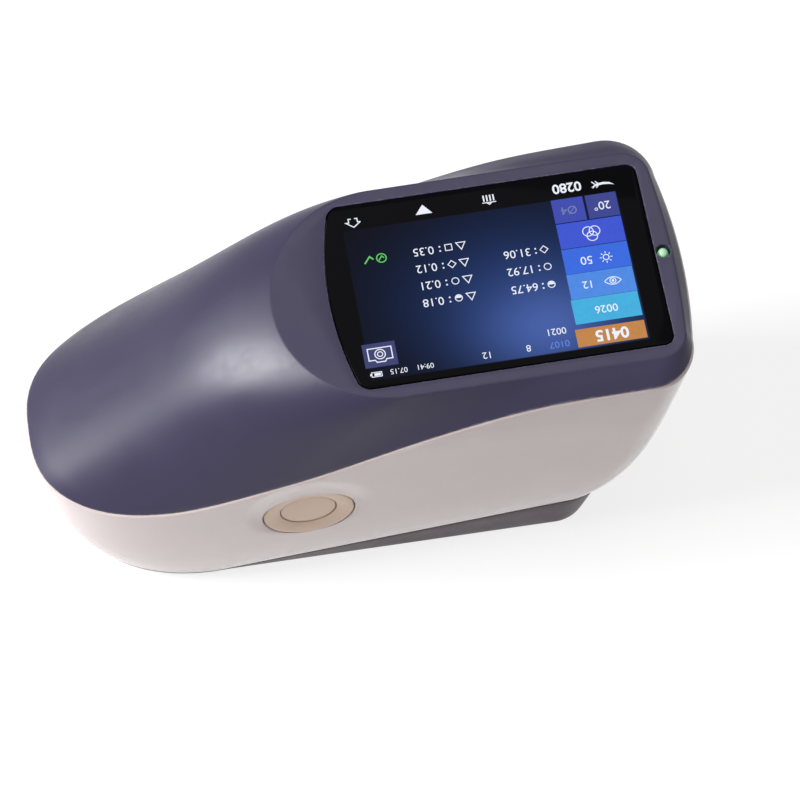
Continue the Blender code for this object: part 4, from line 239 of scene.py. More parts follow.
def bezier_at(low, high, t):
    """Points on the cover's flank, with t from 0 at its lower edge to 1 at its deck."""
    t = np.broadcast_to(t, len(low))[:, None]
    climb = high - low
    swell = np.clip(np.linalg.norm(climb[:, :2], axis=1) / COVER_SWELL_REACH, 0, 1)
    above_low = raised(low + climb * (COVER_LEAN, COVER_LEAN, COVER_RISE), swell * COVER_FOOT)
    lift = climb[:, 2] * swell * (COVER_REACH - COVER_DROP)
    below_high = raised(high - climb * COVER_REACH, lift)
    ends = low * (1 - t) ** 3, high * t**3
    return ends[0] + above_low * 3 * t * (1 - t) ** 2 + below_high * 3 * t**2 * (1 - t) + ends[1]


def cover_ends(inwards):
    low = raised(inset(rim_ring(), COVER_WALL * inwards), FIT_GAP)
    deck = inset(with_height(DECK, BODY_HEIGHT), DECK_INNER_INSET * inwards)
    high = raised(deck, -DECK_THICKNESS * inwards)
    return low, high


def unit(vectors):
    return vectors / np.linalg.norm(vectors, axis=1)[:, None]


def rounded(start, corner, end, steps):
    """Rings that turn softly round a corner ring, from start to end."""
    rings = []
    for t in np.linspace(0, 1, steps + 1):
        rings.append(start * (1 - t) ** 2 + corner * 2 * t * (1 - t) + end * t**2)
    return rings


# Mesh helpers


def piece(name, mesh, smooth=32):
    bmesh.ops.remove_doubles(mesh, verts=mesh.verts, dist=1e-7)
    bmesh.ops.recalc_face_normals(mesh, faces=mesh.faces)
    data = bpy.data.meshes.new(name)
    mesh.to_mesh(data)
    mesh.free()
    shade(data, smooth)
    made = bpy.data.objects.new(name, data)
    bpy.context.scene.collection.objects.link(made)
    return made


def shade(data, smooth=32):
    data.shade_smooth()
    data.set_sharp_from_angle(angle=radians(smooth))


def loft(mesh, rings, closed=False):
    made = [[mesh.verts.new(point) for point in ring] for ring in rings]
    count = len(made[0])
    pairs = list(zip(made, made[1:]))
    if closed:
        pairs.append((made[-1], made[0]))
    else:
        mesh.faces.new(made[0])
        mesh.faces.new(made[-1])
    for low, high in pairs:
        for i in range(count):
            j = (i + 1) % count
            mesh.faces.new((low[i], low[j], high[j], high[i]))


def prism(mesh, plan, low, high, place=Matrix()):
    loft(mesh, [[place @ Vector((x, y, z)) for x, y in plan] for z in (low, high)])


def block(mesh, low, high, place=Matrix()):
    plan = [(low[0], low[1]), (high[0], low[1]), (high[0], high[1]), (low[0], high[1])]
    prism(mesh, plan, low[2], high[2], place)


def turned(mesh, profile, place=Matrix(), steps=TURN_STEPS):
    """A closed profile of (radius, height) points, turned round local Z."""
    columns = []
    for radius, height in profile:
        if radius == 0:
            columns.append([mesh.verts.new(place @ Vector((0, 0, height)))] * steps)
            continue
        turns = [2 * pi * step / steps for step in range(steps)]
        points = [Vector((radius * cos(turn), radius * sin(turn), height)) for turn in turns]
        columns.append([mesh.verts.new(place @ point) for point in points])
    for low, high in zip(columns, columns[1:] + columns[:1]):
        for i in range(steps):
            j = (i + 1) % steps
            corners = list(dict.fromkeys((low[i], low[j], high[j], high[i])))
            if len(corners) > 2:
                mesh.faces.new(corners)


def rod(mesh, radius, low, high, place=Matrix(), steps=TURN_STEPS):
    turned(mesh, [(0, low), (radius, low), (radius, high), (0, high)], place, steps)


def rounded_rectangle(x0, x1, y0, y1, corner, steps=10):
    points = []
    for x, y, quarter in ((x1, y0, -1), (x1, y1, 0), (x0, y1, 1), (x0, y0, 2)):
        centre_x = x - corner if x == x1 else x + corner
        centre_y = y - corner if y == y1 else y + corner
        for step in range(steps + 1):
            turn = pi / 2 * (quarter + step / steps)
            points.append((centre_x + corner * cos(turn), centre_y + corner * sin(turn)))
    return points


def soft_corner(before, corner, after, radius, steps=4):
    """Profile points that round one corner of a (radius, height) profile."""
    before, corner, after = map(np.array, (before, corner, after))
    start = corner + (before - corner) / np.linalg.norm(before - corner) * radius
    end = corner + (after - corner) / np.linalg.norm(after - corner) * radius
    points = []
    for t in np.linspace(0, 1, steps + 1):
        points.append(tuple(start * (1 - t) ** 2 + corner * 2 * t * (1 - t) + end * t**2))
    return points


def soft_profile(points, radii, steps=4):
    """A closed profile whose corners are rounded by the radius given for each, or sharp at 0."""
    count = len(points)
    made = []
    for i, radius in enumerate(radii):
        if radius:
            made += soft_corner(points[i - 1], points[i], points[(i + 1) % count], radius, steps)
        else:
            made.append(points[i])
    return made


def combine(target, tools, operation):
    """One exact Boolean after another, with the result written into target's mesh."""
    for part in tools:
        modifier = target.modifiers.new("combine", "BOOLEAN")
        modifier.operation = operation
        modifier.solver = "EXACT"
        modifier.object = part
    bake(target)
    for part in tools:
        bpy.data.objects.remove(part, do_unlink=True)
    return target


def bake(target, smooth=32):
    depsgraph = bpy.context.evaluated_depsgraph_get()
    data = bpy.data.meshes.new_from_object(target.evaluated_get(depsgraph))
    target.modifiers.clear()
    target.data = data
    data.name = target.name
    shade(data, smooth)
    return target


def solid(name, build, *arguments):
    mesh = bmesh.new()
    build(mesh, *arguments)
    return piece(name, mesh)


def spot(x, y=0, z=0):
    return Matrix.Translation((x, y, z))


def middle(name):
    """Middle of a CAD node's box."""
    return tuple((a + b) / 2 for a, b in zip(*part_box(name)))


# Casing


def cover_skin():
    """The cover's walls: soft edge round the deck, bowed flank, thin lower edge, inner side."""
    low, high = cover_ends(0)
    ts = np.linspace(0, 1, PATH_STEPS)
    path = np.array([bezier_at(low, high, t) for t in ts])
    to_high = np.linalg.norm(path - high, axis=2)
    to_low = np.linalg.norm(path - low, axis=2)
    end = np.array([np.interp(-DECK_SOFT, -to_high[:, i], ts) for i in range(len(low))])
    start = np.array([np.interp(THIN_EDGE, to_low[:, i], ts) for i in range(len(low))])
    shares = np.linspace(0, 1, COVER_RINGS)
    flank = [bezier_at(low, high, start + (end - start) * share) for share in shares]
    deck = with_height(DECK, BODY_HEIGHT)
    inner_low, inner_high = cover_ends(1)
    inner = [bezier_at(inner_low, inner_high, t) for t in np.linspace(0, 1, COVER_INNER_RINGS)]
    bottom = low + unit(inner_low - low) * THIN_EDGE
    rings = [inset(deck, DECK_SOFT * 2)]
    rings += rounded(inset(deck, DECK_SOFT), high, flank[-1], 5)
    rings += flank[-2:0:-1]
    rings += rounded(flank[0], low, bottom, 3)
    return solid("cover_skin", loft, rings + inner)


def glass_outline(margin, steps=12):
    half, corner = GLASS_HALF_WIDTH + margin, GLASS_CORNER + margin
    tail_x = GLASS_X[0] - margin
    ring = rounded_rectangle(tail_x, GLASS_X[1] + margin, -half, half, corner, steps)
    side = [(tail_x, (half - corner) * (1 - step / 16)) for step in range(1, 32)]
    quarter = len(ring) // 4
    tail_side = ring[quarter * 2 : quarter * 3] + side + ring[quarter * 3 :]
    return ring[: quarter * 2] + [(x - GLASS_BOW * (1 - (y / half) ** 2), y) for x, y in tail_side]


def plan_loft(mesh, levels):
    """Closed solid through (outline, height) levels."""
    loft(mesh, [[Vector((x, y, z)) for x, y in plan] for plan, z in levels])


LUGS = [
    (x, side * y, float(seam_height(x)) - drop)
    for x, y, drop in ((TAIL_X + 0.0263, 0.0170, 0.0070), (HEAD_X - 0.0085, 0.0180, 0.0095))
    for side in (-1, 1)
]


def make_cover():
    cover = cover_skin()
    core = [bezier_at(*cover_ends(0.5), t) for t in np.linspace(0, 1, 10)]
    floor = core[0].copy()
    floor[:, 2] = 0
    mesh = bmesh.new()
    for x, y, top in LUGS:
        rod(mesh, COVER_POST_RADIUS, top + FIT_GAP, BODY_HEIGHT, spot(x, y), 32)
    posts = combine(piece("posts", mesh), [solid("core", loft, [floor] + core)], "INTERSECT")
    combine(cover, [posts], "UNION")
    levels = [
        (glass_outline(FIT_GAP), GLASS_TOP - POCKET_DEPTH),
        (glass_outline(FIT_GAP), BODY_HEIGHT - THIN_EDGE),
        (glass_outline(FIT_GAP + THIN_EDGE * 0.3), BODY_HEIGHT - THIN_EDGE * 0.3),
        (glass_outline(FIT_GAP + THIN_EDGE), BODY_HEIGHT),
        (glass_outline(FIT_GAP + THIN_EDGE * 3), BODY_HEIGHT + THIN_EDGE * 2),
    ]
    low = BODY_HEIGHT - WINDOW_DEPTH
    mesh = bmesh.new()
    window = rounded_rectangle(*WINDOW_X, -WINDOW_HALF, WINDOW_HALF, WINDOW_CORNER)
    prism(mesh, window, low, BODY_HEIGHT)
    radius = LIGHT_RADIUS + FIT_GAP
    profile = [(0, low), (radius, low)]
    profile += [(radius + out, BODY_HEIGHT + rise) for out, rise in LIGHT_MOUTH]
    turned(mesh, profile + [(0, BODY_HEIGHT + LIGHT_MOUTH[-1][1])], spot(LIGHT_X))
    for x, y, top in LUGS:
        rod(mesh, SCREW_HOLE, top - OVERRUN, top + COVER_HOLE_DEPTH, spot(x, y), 24)
    return combine(cover, [solid("pocket", plan_loft, levels), piece("holes", mesh)], "DIFFERENCE")


RING_X, _, RING_Z = middle("button_ring")
BUTTON_PLACE = spot(RING_X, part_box("button_ring")[0].y, RING_Z) @ ALONG_Y


def scooped(ring):
    """The ring pushed in to the soft dish round the button, with a smooth turn between them."""
    x, y, z = BUTTON_PLACE.translation
    away = np.hypot(ring[:, 0] - x, ring[:, 2] - z)
    share = np.clip((away - RING_HOLE) / SCOOP_WIDTH, 0, 3)
    floor = y - BUTTON_SINK * share**SCOOP_POWER
    step = np.clip(0.5 + 0.5 * (floor - ring[:, 1]) / SCOOP_SOFT, 0, 1)
    moved = ring.copy()
    near = ring[:, 1] < 0
    moved[near, 1] = (ring[:, 1] * (1 - step) + floor * step + SCOOP_SOFT * step * (1 - step))[near]
    return moved


def shell_skin():
    """The shell's walls: lower edge, bowed wall with the button's dish, soft lip, inner side."""
    lip = lip_widths()
    seam, rim = seam_ring(), rim_ring()
    radius = lip * LIP_ROUND_SHARE
    shares = np.linspace(0, 1, 40) ** 1.35
    path = np.array([wall_ring(share) for share in shares])
    to_seam = np.linalg.norm(path - seam, axis=2)
    end = np.array([np.interp(-radius[i], -to_seam[:, i], shares) for i in range(len(seam))])
    climbed = np.linalg.norm(path[:, SIDE_POINT] - path[0, SIDE_POINT], axis=1)
    start = np.interp(SHELL_LOW_SOFT, climbed, shares)
    wall = [
        scooped(wall_ring(start + (end - start) * share))
        for share in np.linspace(0, 1, SHELL_RINGS) ** 1.2
    ]
    inner = [inset(wall_ring(share), SHELL_WALL) for share in SHELL_INNER_SHARES]
    bottom = edge_ring()
    rings = rounded(inset(bottom, SHELL_LOW_SOFT), bottom, wall[0], 3)
    rings += wall[1:-1]
    rings += rounded(wall[-1], seam, seam + unit(rim - seam) * radius[:, None], 6)
    rings += [rim, inset(rim, SHELL_WALL)] + inner
    return solid("shell_skin", loft, rings, True)


POST_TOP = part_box("main_board")[0].z - FIT_GAP
POSTS = [(x, side * 0.0221) for x in (-0.0529, 0.0051) for side in (-1, 1)]
CHASSIS_POSTS = [
    (x, side * y)
    for x, y in ((PORT_X - 0.0280, 0.0220), (PORT_X + 0.0176, 0.0212)) for side in (-1, 1)
]
BAY_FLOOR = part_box("data_socket")[1].y - 0.0006


def bay_outline(margin):
    x0, x1 = BAY_X
    z0, z1 = BAY_Z
    return rounded_rectangle(
        x0 - margin, x1 + margin, -z1 - margin, -z0 + margin, BAY_CORNER + margin
    )


def shell_core():
    rings = [inset(wall_ring(share), SHELL_WALL / 2) for share in (0, 0.09, 0.26, 0.62, 1)]
    low, high = rings[0].copy(), rings[-1].copy()
    low[:, 2], high[:, 2] = 0, BODY_HEIGHT + OVERRUN
    return solid("core", loft, [low] + rings + [high])


def shell_inside():
    """Posts, ribs, lugs and pads inside the shell, trimmed in the middle of its wall."""
    mesh = bmesh.new()
    reach, half = HEAD_WIDTH / 2, RIB_THICKNESS / 2
    for x, y in POSTS:
        ends = sorted((y, np.sign(y) * reach))
        low = float(edge_height(x)) + RIB_ABOVE_EDGE
        block(mesh, (x - half, ends[0], low), (x + half, ends[1], POST_TOP - RIB_BELOW_POST))
    for x, y, top in LUGS:
        ends = sorted((y - np.sign(y) * LUG_HALF, np.sign(y) * reach))
        block(mesh, (x - LUG_HALF, ends[0], top - LUG_HEIGHT), (x + LUG_HALF, ends[1], top))
    supports = combine(piece("supports", mesh), [shell_core()], "INTERSECT")
    mesh = bmesh.new()
    rod(mesh, RING_RADIUS + PAD_MARGIN, -PAD_DEPTH, GRIP_WIDTH / 2, BUTTON_PLACE, 64)
    prism(mesh, bay_outline(SHELL_WALL), BAY_FLOOR - SHELL_WALL, GRIP_WIDTH, ALONG_BACK)
    pads = combine(piece("pads", mesh), [shell_core()], "INTERSECT")
    mesh = bmesh.new()
    for x, y in POSTS:
        rod(mesh, BOARD_POST_RADIUS, FLOOR_TOP + FIT_GAP, POST_TOP, spot(x, y), 32)
    posts = piece("posts", mesh)
    mesh = bmesh.new()
    root = -PAD_DEPTH + RIB_BELOW_POST
    for side in (-1, 1):
        profile = [(0, STAKE_LEVELS[0])]
        for radius, low, high in zip(STAKE_RADII, STAKE_LEVELS, STAKE_LEVELS[1:] + (root,)):
            profile += [(radius, low), (radius, high)]
        turned(mesh, profile + [(0, root)], BUTTON_PLACE @ spot(side * STAKE_REACH), 24)
    return [supports, pads, posts, piece("board_posts", mesh)]


def shell_cuts():
    """Button hole with a fine flare, socket bay, screw holes, and the holes for the sockets."""
    deep = -PAD_DEPTH - OVERRUN
    profile = [
        (0, deep), (RING_HOLE, deep), (RING_HOLE, -THIN_EDGE),
        (RING_HOLE + THIN_EDGE * 0.3, -THIN_EDGE * 0.3), (RING_HOLE + THIN_EDGE, THIN_EDGE * 0.2),
        (RING_HOLE + THIN_EDGE * 2, BUTTON_CUT_TOP), (0, BUTTON_CUT_TOP),
    ]
    mesh = bmesh.new()
    turned(mesh, profile, BUTTON_PLACE, ROUND_STEPS)
    prism(mesh, bay_outline(0), BAY_FLOOR, GRIP_WIDTH, ALONG_BACK)
    openings = piece("openings", mesh)
    mesh = bmesh.new()
    for x, y in POSTS:
        rod(mesh, SCREW_HOLE, -OVERRUN, FLOOR_TOP + FIT_GAP + SCREW_DEPTH, spot(x, y), 24)
        rod(mesh, PILOT_HOLE, POST_TOP - PILOT_DEPTH, POST_TOP + OVERRUN, spot(x, y), 24)
    for x, y, top in LUGS:
        rod(mesh, SCREW_HOLE, top - LUG_HEIGHT - FIT_GAP, top + FIT_GAP, spot(x, y), 24)
    for node, margin in SOCKET_MARGINS:
        low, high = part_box(node)
        block(
            mesh, (low.x - margin, BAY_FLOOR - OVERRUN, low.z - margin),
            (high.x + margin, BAY_FLOOR + OVERRUN, high.z + margin),
        )
    return [openings, piece("holes", mesh)]


def make_shell():
    shell = shell_skin()
    combine(shell, shell_inside(), "UNION")
    return combine(shell, shell_cuts(), "DIFFERENCE")


def make_base():
    """Tray with soft edges, posts and battery ribs inside, and its holes from below."""
    bottom = with_height(BASE, FOOT_PROUD)
    top = raised(edge_ring(), -FIT_GAP)
    inner_bottom = inset(bottom, BASE_WALL)
    inner_bottom[:, 2] = FLOOR_TOP
    side = unit(top - bottom)
    rings = [inset(bottom, BASE_SOFT * 2)]
    rings += rounded(inset(bottom, BASE_SOFT), bottom, bottom + side * BASE_SOFT, 4)
    rings += [bottom + (top - bottom) * share for share in (0.25, 0.5, 0.75)]
    rings += rounded(top - side * FINE_SOFT, top, inset(top, FINE_SOFT), 3)
    base = solid("base_skin", loft, rings + [inset(top, BASE_WALL), inner_bottom])
    posts_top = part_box("chassis_plate")[0].z - FIT_GAP
    low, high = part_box("battery_pack")
    root, rib_top = FLOOR_TOP - POST_SINK, FLOOR_TOP + BATTERY_RIB_HEIGHT
    mesh = bmesh.new()
    for x, y in CHASSIS_POSTS:
        rod(mesh, CHASSIS_POST_RADIUS, root, posts_top, spot(x, y), 32)
    thick, half = BATTERY_RIB_THICKNESS, BATTERY_RIB_HALF
    for x in (low.x - FIT_GAP - thick, high.x + FIT_GAP):
        block(mesh, (x, -half, root), (x + thick, half, rib_top))
    middle_x = (low.x + high.x) / 2
    for y in (low.y - FIT_GAP - thick, high.y + FIT_GAP):
        block(mesh, (middle_x - half, y, root), (middle_x + half, y + thick, rib_top))
    combine(base, [piece("inside", mesh)], "UNION")
    mesh = bmesh.new()
    for number_ in range(1, 5):
        low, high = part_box(f"foot_{number_}")
        place = spot(*middle(f"foot_{number_}")[:2])
        recess(mesh, (high.x - low.x) / 2 + FIT_GAP, FOOT_PROUD + FOOT_RECESS, place)
    for x, y in POSTS:
        recess(mesh, SCREW_RECESS_RADIUS, FOOT_PROUD + SCREW_RECESS, spot(x, y))
    recess(mesh, PORT_HOLE, FLOOR_TOP + OVERRUN, spot(PORT_X), ROUND_STEPS)
    combine(base, [piece("holes", mesh)], "DIFFERENCE")
    mesh = bmesh.new()
    for x, y in POSTS:
        rod(mesh, SCREW_HOLE, FOOT_PROUD - OVERRUN, FLOOR_TOP + OVERRUN, spot(x, y), 24)
    for x, y in CHASSIS_POSTS:
        rod(mesh, SCREW_HOLE, posts_top - SCREW_DEPTH, posts_top + OVERRUN, spot(x, y), 24)
    return combine(base, [piece("holes", mesh)], "DIFFERENCE")


def recess(mesh, radius, top, place, steps=64):
    """Round hole from below with a small chamfer at its mouth."""
    flare = FINE_SOFT
    profile = [
        (0, -OVERRUN), (radius + flare * 2, -OVERRUN), (radius + flare, FOOT_PROUD),
        (radius + flare * 0.3, FOOT_PROUD + flare * 0.3), (radius, FOOT_PROUD + flare),
        (radius, top), (0, top),
    ]
    turned(mesh, profile, place, steps)


# Controls and small parts


def make_glass():
    bottom = GLASS_TOP - GLASS_THICKNESS
    levels = [
        (glass_outline(-GLASS_SOFT * 0.5), bottom), (glass_outline(0), bottom + GLASS_SOFT * 0.5)
    ]
    for turn in np.linspace(0, pi / 2, 5):
        plan = glass_outline(-GLASS_SOFT * (1 - cos(turn)))
        levels.append((plan, GLASS_TOP - GLASS_SOFT * (1 - sin(turn))))
    return solid("glass_skin", plan_loft, levels)


def make_ring():
    """Ring with a dished face round the button, and its flange behind the shell's pad."""
    outer = RING_RADIUS + RING_FLANGE
    back = RING_FRONT + RING_FLANGE_THICKNESS
    bore, rim = RING_BORE + RING_LIP, RING_RADIUS - RING_SOFT
    face = []
    for share in np.linspace(0, 1, 18):
        radius = bore + (rim - RING_BORE - RING_LIP) * share
        face.append((radius, -RING_DISH * (1 - share) ** 1.6 * (1 - 0.25 * share)))
    turns = np.linspace(0, pi / 2, 7)[1:]
    edge = [(rim + RING_SOFT * sin(turn), -RING_SOFT * (1 - cos(turn))) for turn in turns]
    lip = [
        (RING_BORE, -RING_DISH - RING_LIP), (RING_BORE + RING_LIP_TOP, -RING_DISH - RING_LIP_TOP)
    ]
    flange = [(RING_RADIUS, -RING_FRONT), (outer, -RING_FRONT), (outer, -back), (RING_BORE, -back)]
    return solid("ring_skin", turned, lip + face + edge + flange, BUTTON_PLACE, ROUND_STEPS)


def make_button():
    """Slightly hollow button with a soft edge, its flange and the stem that presses the switch."""
    radius = RING_BORE - FIT_GAP
    flat_radius, low = radius - BUTTON_SOFT, -BUTTON_FACE - BUTTON_CROWN
    back = -RING_FRONT - RING_FLANGE_THICKNESS - FIT_GAP
    flange, flange_back = RING_BORE + BUTTON_FLANGE, back - BUTTON_FLANGE_THICKNESS
    tip = flange_back - STEM_LENGTH
    profile = [
        (share * flat_radius, -BUTTON_FACE - BUTTON_CROWN * share**2)
        for share in np.linspace(0, 1, 12)
    ]
    for turn in np.linspace(0, pi / 2, 7)[1:]:
        profile.append((flat_radius + BUTTON_SOFT * sin(turn), low - BUTTON_SOFT * (1 - cos(turn))))
    profile += [
        (radius, back), (flange, back), (flange, flange_back), (STEM_RADIUS, flange_back),
        (STEM_RADIUS, tip), (0, tip),
    ]
    return solid("button_skin", turned, profile, BUTTON_PLACE, ROUND_STEPS)


def make_light():
    """Shallow lens on a light pipe, with a fine groove round it."""
    low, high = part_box("status_light")
    radius, top = LIGHT_RADIUS, high.z
    lens, wide = radius - LENS_GROOVE, radius + LIGHT_FLANGE
    profile = [
        (lens * sin(turn), top - LENS_RISE * (1 - cos(turn))) for turn in np.linspace(0, pi / 2, 12)
    ]
    flange = BODY_HEIGHT - DECK_THICKNESS - FIT_GAP
    profile += [
        (lens, top - LENS_RIM_DEPTHS[0]), (radius, top - LENS_RIM_DEPTHS[1]), (radius, flange),
        (wide, flange), (wide, low.z), (0, low.z),
    ]
    return solid("light_skin", turned, profile, spot(LIGHT_X), 64)


def make_foot(number_):
    low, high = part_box(f"foot_{number_}")
    radius, step = (high.x - low.x) / 2, FINE_SOFT
    points = [(0, 0), (radius, 0), (radius, high.z), (0, high.z)]
    profile = soft_profile(points, (0, 0.0005, 0.0001, 0), 5)
    profile = [(0, step), (radius * 0.45, step), (radius * 0.5, 0)] + profile[1:]
    place = spot(*middle(f"foot_{number_}")[:2])
    return solid(f"foot_skin_{number_}", turned, profile, place, 64)


def make_base_screw(number_):
    """Pan-head screw seen from below, with a six-sided socket."""
    x, y, _ = middle(f"base_screw_{number_}")
    place = spot(x, y, FOOT_PROUD + HEAD_HEIGHT) @ Matrix.Rotation(pi, 4, "X")
    points = [
        (0, -SCREW_DEPTH), (SHANK_RADIUS, -SCREW_DEPTH), (SHANK_RADIUS, 0), (HEAD_RADIUS, 0),
        (HEAD_RADIUS, HEAD_HEIGHT), (0, HEAD_HEIGHT),
    ]
    profile = soft_profile(points, (0, 0.0004, 0, 0.0001, 0.0006, 0), 5)
    screw = solid(f"screw_skin_{number_}", turned, profile, place, 48)
    socket = solid("socket", rod, SHANK_RADIUS, 0.0005, HEAD_HEIGHT + OVERRUN, place, 6)
    return combine(screw, [socket], "DIFFERENCE")


def make_aperture():
    """Turning ring round the measuring spot, with its bayonet lugs and spanner holes."""
    low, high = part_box("aperture_ring")
    at_port, bottom, top = spot(PORT_X), low.z, high.z
    flange = bottom + APERTURE_FLANGE
    spot_radius, outer = APERTURE_RADII
    sleeve, bore = SLEEVE_RADII
    points = [
        (spot_radius, bottom), (outer, bottom), (outer, flange), (sleeve, flange), (sleeve, top),
        (bore, top), (bore, flange), (spot_radius, bottom + 0.0006),
    ]
    profile = soft_profile(points, (0.0002, 0.0006, 0.0002, 0, 0.0002, 0.0002, 0, 0.0002))
    ring = solid("aperture_skin", turned, profile, at_port, ROUND_STEPS)
    mesh = bmesh.new()
    for side in (-1, 1):
        ends = sorted((side * LUG_REACH[0], side * LUG_REACH[1]))
        half, under = BAYONET_HALF, top - BAYONET_DROPS[0]
        block(mesh, (ends[0], -half, under), (ends[1], half, top - BAYONET_DROPS[1]), at_port)
    combine(ring, [piece("lugs", mesh)], "UNION")
    mesh = bmesh.new()
    for side in (-1, 1):
        profile = [(0, -OVERRUN), (0.0015, -OVERRUN)]
        profile += [(radius, bottom + rise) for radius, rise in SPANNER_HOLE]
        turned(mesh, profile, at_port @ spot(0, side * SPANNER_REACH), 32)
    return combine(ring, [piece("spanner", mesh)], "DIFFERENCE")


def make_jack():
    low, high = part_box("power_jack")
    x, _, z = middle("power_jack")
    jack = softened(solid("jack_skin", block, low, high), 0.0003)
    points = [
        (0.0010, -0.0090), (0.0031, -0.0090), (0.0031, -0.0002), (0.0033, 0.00005),
        (0.0033, OVERRUN), (0, OVERRUN), (0, -0.0010), (0.0007, -0.0010), (0.0010, -0.0014),
    ]
    bore = solid("bore", turned, points, spot(x, high.y, z) @ ALONG_BACK, 64)
    return combine(jack, [bore], "DIFFERENCE")


def soft_bevel(target, width, segments):
    bevel = target.modifiers.new("soft", "BEVEL")
    bevel.width = width
    bevel.segments = segments
    bevel.limit_method = "ANGLE"
    bevel.angle_limit = radians(40)
    return bevel


def softened(target, width):
    soft_bevel(target, width, 3).use_clamp_overlap = True
    return bake(target)


def soften_node(name, width):
    """Rounds the edges of a CAD node that stays, by modifiers alone."""
    node = NODES[name]
    node.modifiers.new("weld", "WELD").merge_threshold = 1e-6
    soft_bevel(node, width, 2)


def make_contacts():
    """Four spring contacts on the data socket's tongue."""
    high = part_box("data_socket")[1]
    x, _, z = middle("data_socket")
    mesh = bmesh.new()
    for side in (-1, 1):
        for lane in (-1, 1):
            at = x + lane * CONTACT_LANE
            ends = sorted((z + side * CONTACT_HEIGHTS[0], z + side * CONTACT_HEIGHTS[1]))
            near, far = high.y - CONTACT_DEPTHS[1], high.y - CONTACT_DEPTHS[0]
            block(mesh, (at - CONTACT_HALF, near, ends[0]), (at + CONTACT_HALF, far, ends[1]))
    return piece("socket_contacts", mesh)


ROCKER_REACH, ROCKER_HALF, ROCKER_PROUD, ROCKER_DEPTH = 0.00456, 0.0028, 0.0012, 0.0040
ROCKER_SOFT, ROCKER_SWING, ROCKER_DISH_SHARE = 0.00022, radians(16), 0.6
MARK_SHARE, MARK_LEVELS = 0.56, (-0.0001, 0.00004)


def rocker_place():
    joints = frame["record"]["behaviour"]["joints"]
    pivot = next(joint["pos_m"] for joint in joints if joint["name"] == "rocker_tilt")
    return Matrix.Translation(pivot) @ Matrix.Rotation(-ROCKER_SWING / 2, 4, "Z")


def rocker_face(x):
    """Height of the rocker's front face, dished softly from its two raised ends."""
    dip = ROCKER_REACH * sin(ROCKER_SWING / 2) * ROCKER_DISH_SHARE
    return ROCKER_PROUD - dip * (1 - abs(x) / ROCKER_REACH) ** 1.2


def make_rocker():
    xs = np.linspace(-ROCKER_REACH, ROCKER_REACH, 33)
    plan = [(x, rocker_face(x)) for x in xs[::-1]]
    for turn in np.linspace(0, pi, 25):
        plan.append((-ROCKER_REACH * cos(turn), -ROCKER_DEPTH * sin(turn) ** 0.9))
    rocker = solid("rocker_skin", prism, plan, -ROCKER_HALF, ROCKER_HALF, rocker_place())
    return softened(rocker, ROCKER_SOFT)


def make_rocker_marks():
    """The plain bar and ring of an on and off switch, on the two halves of the rocker."""
    mesh = bmesh.new()
    slope = sin(ROCKER_SWING / 2) * ROCKER_DISH_SHARE
    low, high = MARK_LEVELS
    for side in (-1, 1):
        x = side * ROCKER_REACH * MARK_SHARE
        place = rocker_place() @ spot(x, rocker_face(x))
        place = place @ Matrix.Rotation(side * slope, 4, "Z") @ ALONG_BACK
        if side < 0:
            bar = rounded_rectangle(-0.00016, 0.00016, -0.0011, 0.0011, 0.0001, 3)
            prism(mesh, bar, low, high, place)
        else:
            turned(mesh, [(0.0009, low), (0.0012, low), (0.0012, high), (0.0009, high)], place, 40)
    return piece("rocker_marks", mesh)


# Screen


INK_LOW, INK_HIGH = GLASS_TOP + 0.000035, GLASS_TOP + 0.000055
TILE_LOW, TILE_HIGH, TILE_CORNER = GLASS_TOP + 0.000005, GLASS_TOP + 0.000025, 0.00005
CAPITAL_SHARE, SHARPEST_MITRE = 0.72, 0.35

# The screen's drawing is placed in millimetres from this x
SCREEN_ZERO = 0.0011


def on_screen(u, v, x, y):
    """A point u to the right of and v above (x, y), as read from the +Y side, in millimetres."""
    return ((x - u) / 1000, (y - v) / 1000)


def flat(mesh, plan):
    prism(mesh, plan, INK_LOW, INK_HIGH)


def stroke(mesh, points, width, closed=False):
    """A line of even width through plan points, with mitred turns."""
    path = np.array(points, float)
    if closed:
        before, after = np.roll(path, 1, 0), np.roll(path, -1, 0)
    else:
        before = np.vstack([path[0] * 2 - path[1], path[:-1]])
        after = np.vstack([path[1:], path[-1] * 2 - path[-2]])
    first, second = unit(path - before), unit(after - path)
    normal = unit(np.column_stack([-(first + second)[:, 1], (first + second)[:, 0]]))
    across = np.column_stack([-first[:, 1], first[:, 0]])
    reach = width / 2 / np.maximum(np.abs((normal * across).sum(1)), SHARPEST_MITRE)
    left, right = path + normal * reach[:, None], path - normal * reach[:, None]
    rings = []
    for l, r in zip(left, right):
        corners = ((*l, INK_LOW), (*r, INK_LOW), (*r, INK_HIGH), (*l, INK_HIGH))
        rings.append([Vector(point) for point in corners])
    loft(mesh, rings, closed)


def circle(x, y, radius, steps=28, start=0, end=2 * pi):
    turns = np.linspace(start, end, steps + 1)
    if end - start >= 2 * pi:
        turns = turns[:-1]
    x, y, radius = x / 1000, y / 1000, radius / 1000
    return [(x + radius * cos(turn), y + radius * sin(turn)) for turn in turns]


def ring_mark(mesh, x, y, radius, width):
    stroke(mesh, circle(x, y, radius), width / 1000, True)


def path_mark(mesh, x, y, points, width, closed=False):
    stroke(mesh, [on_screen(u, v, x, y) for u, v in points], width / 1000, closed)


def solid_mark(mesh, x, y, points):
    flat(mesh, [on_screen(u, v, x, y) for u, v in points])


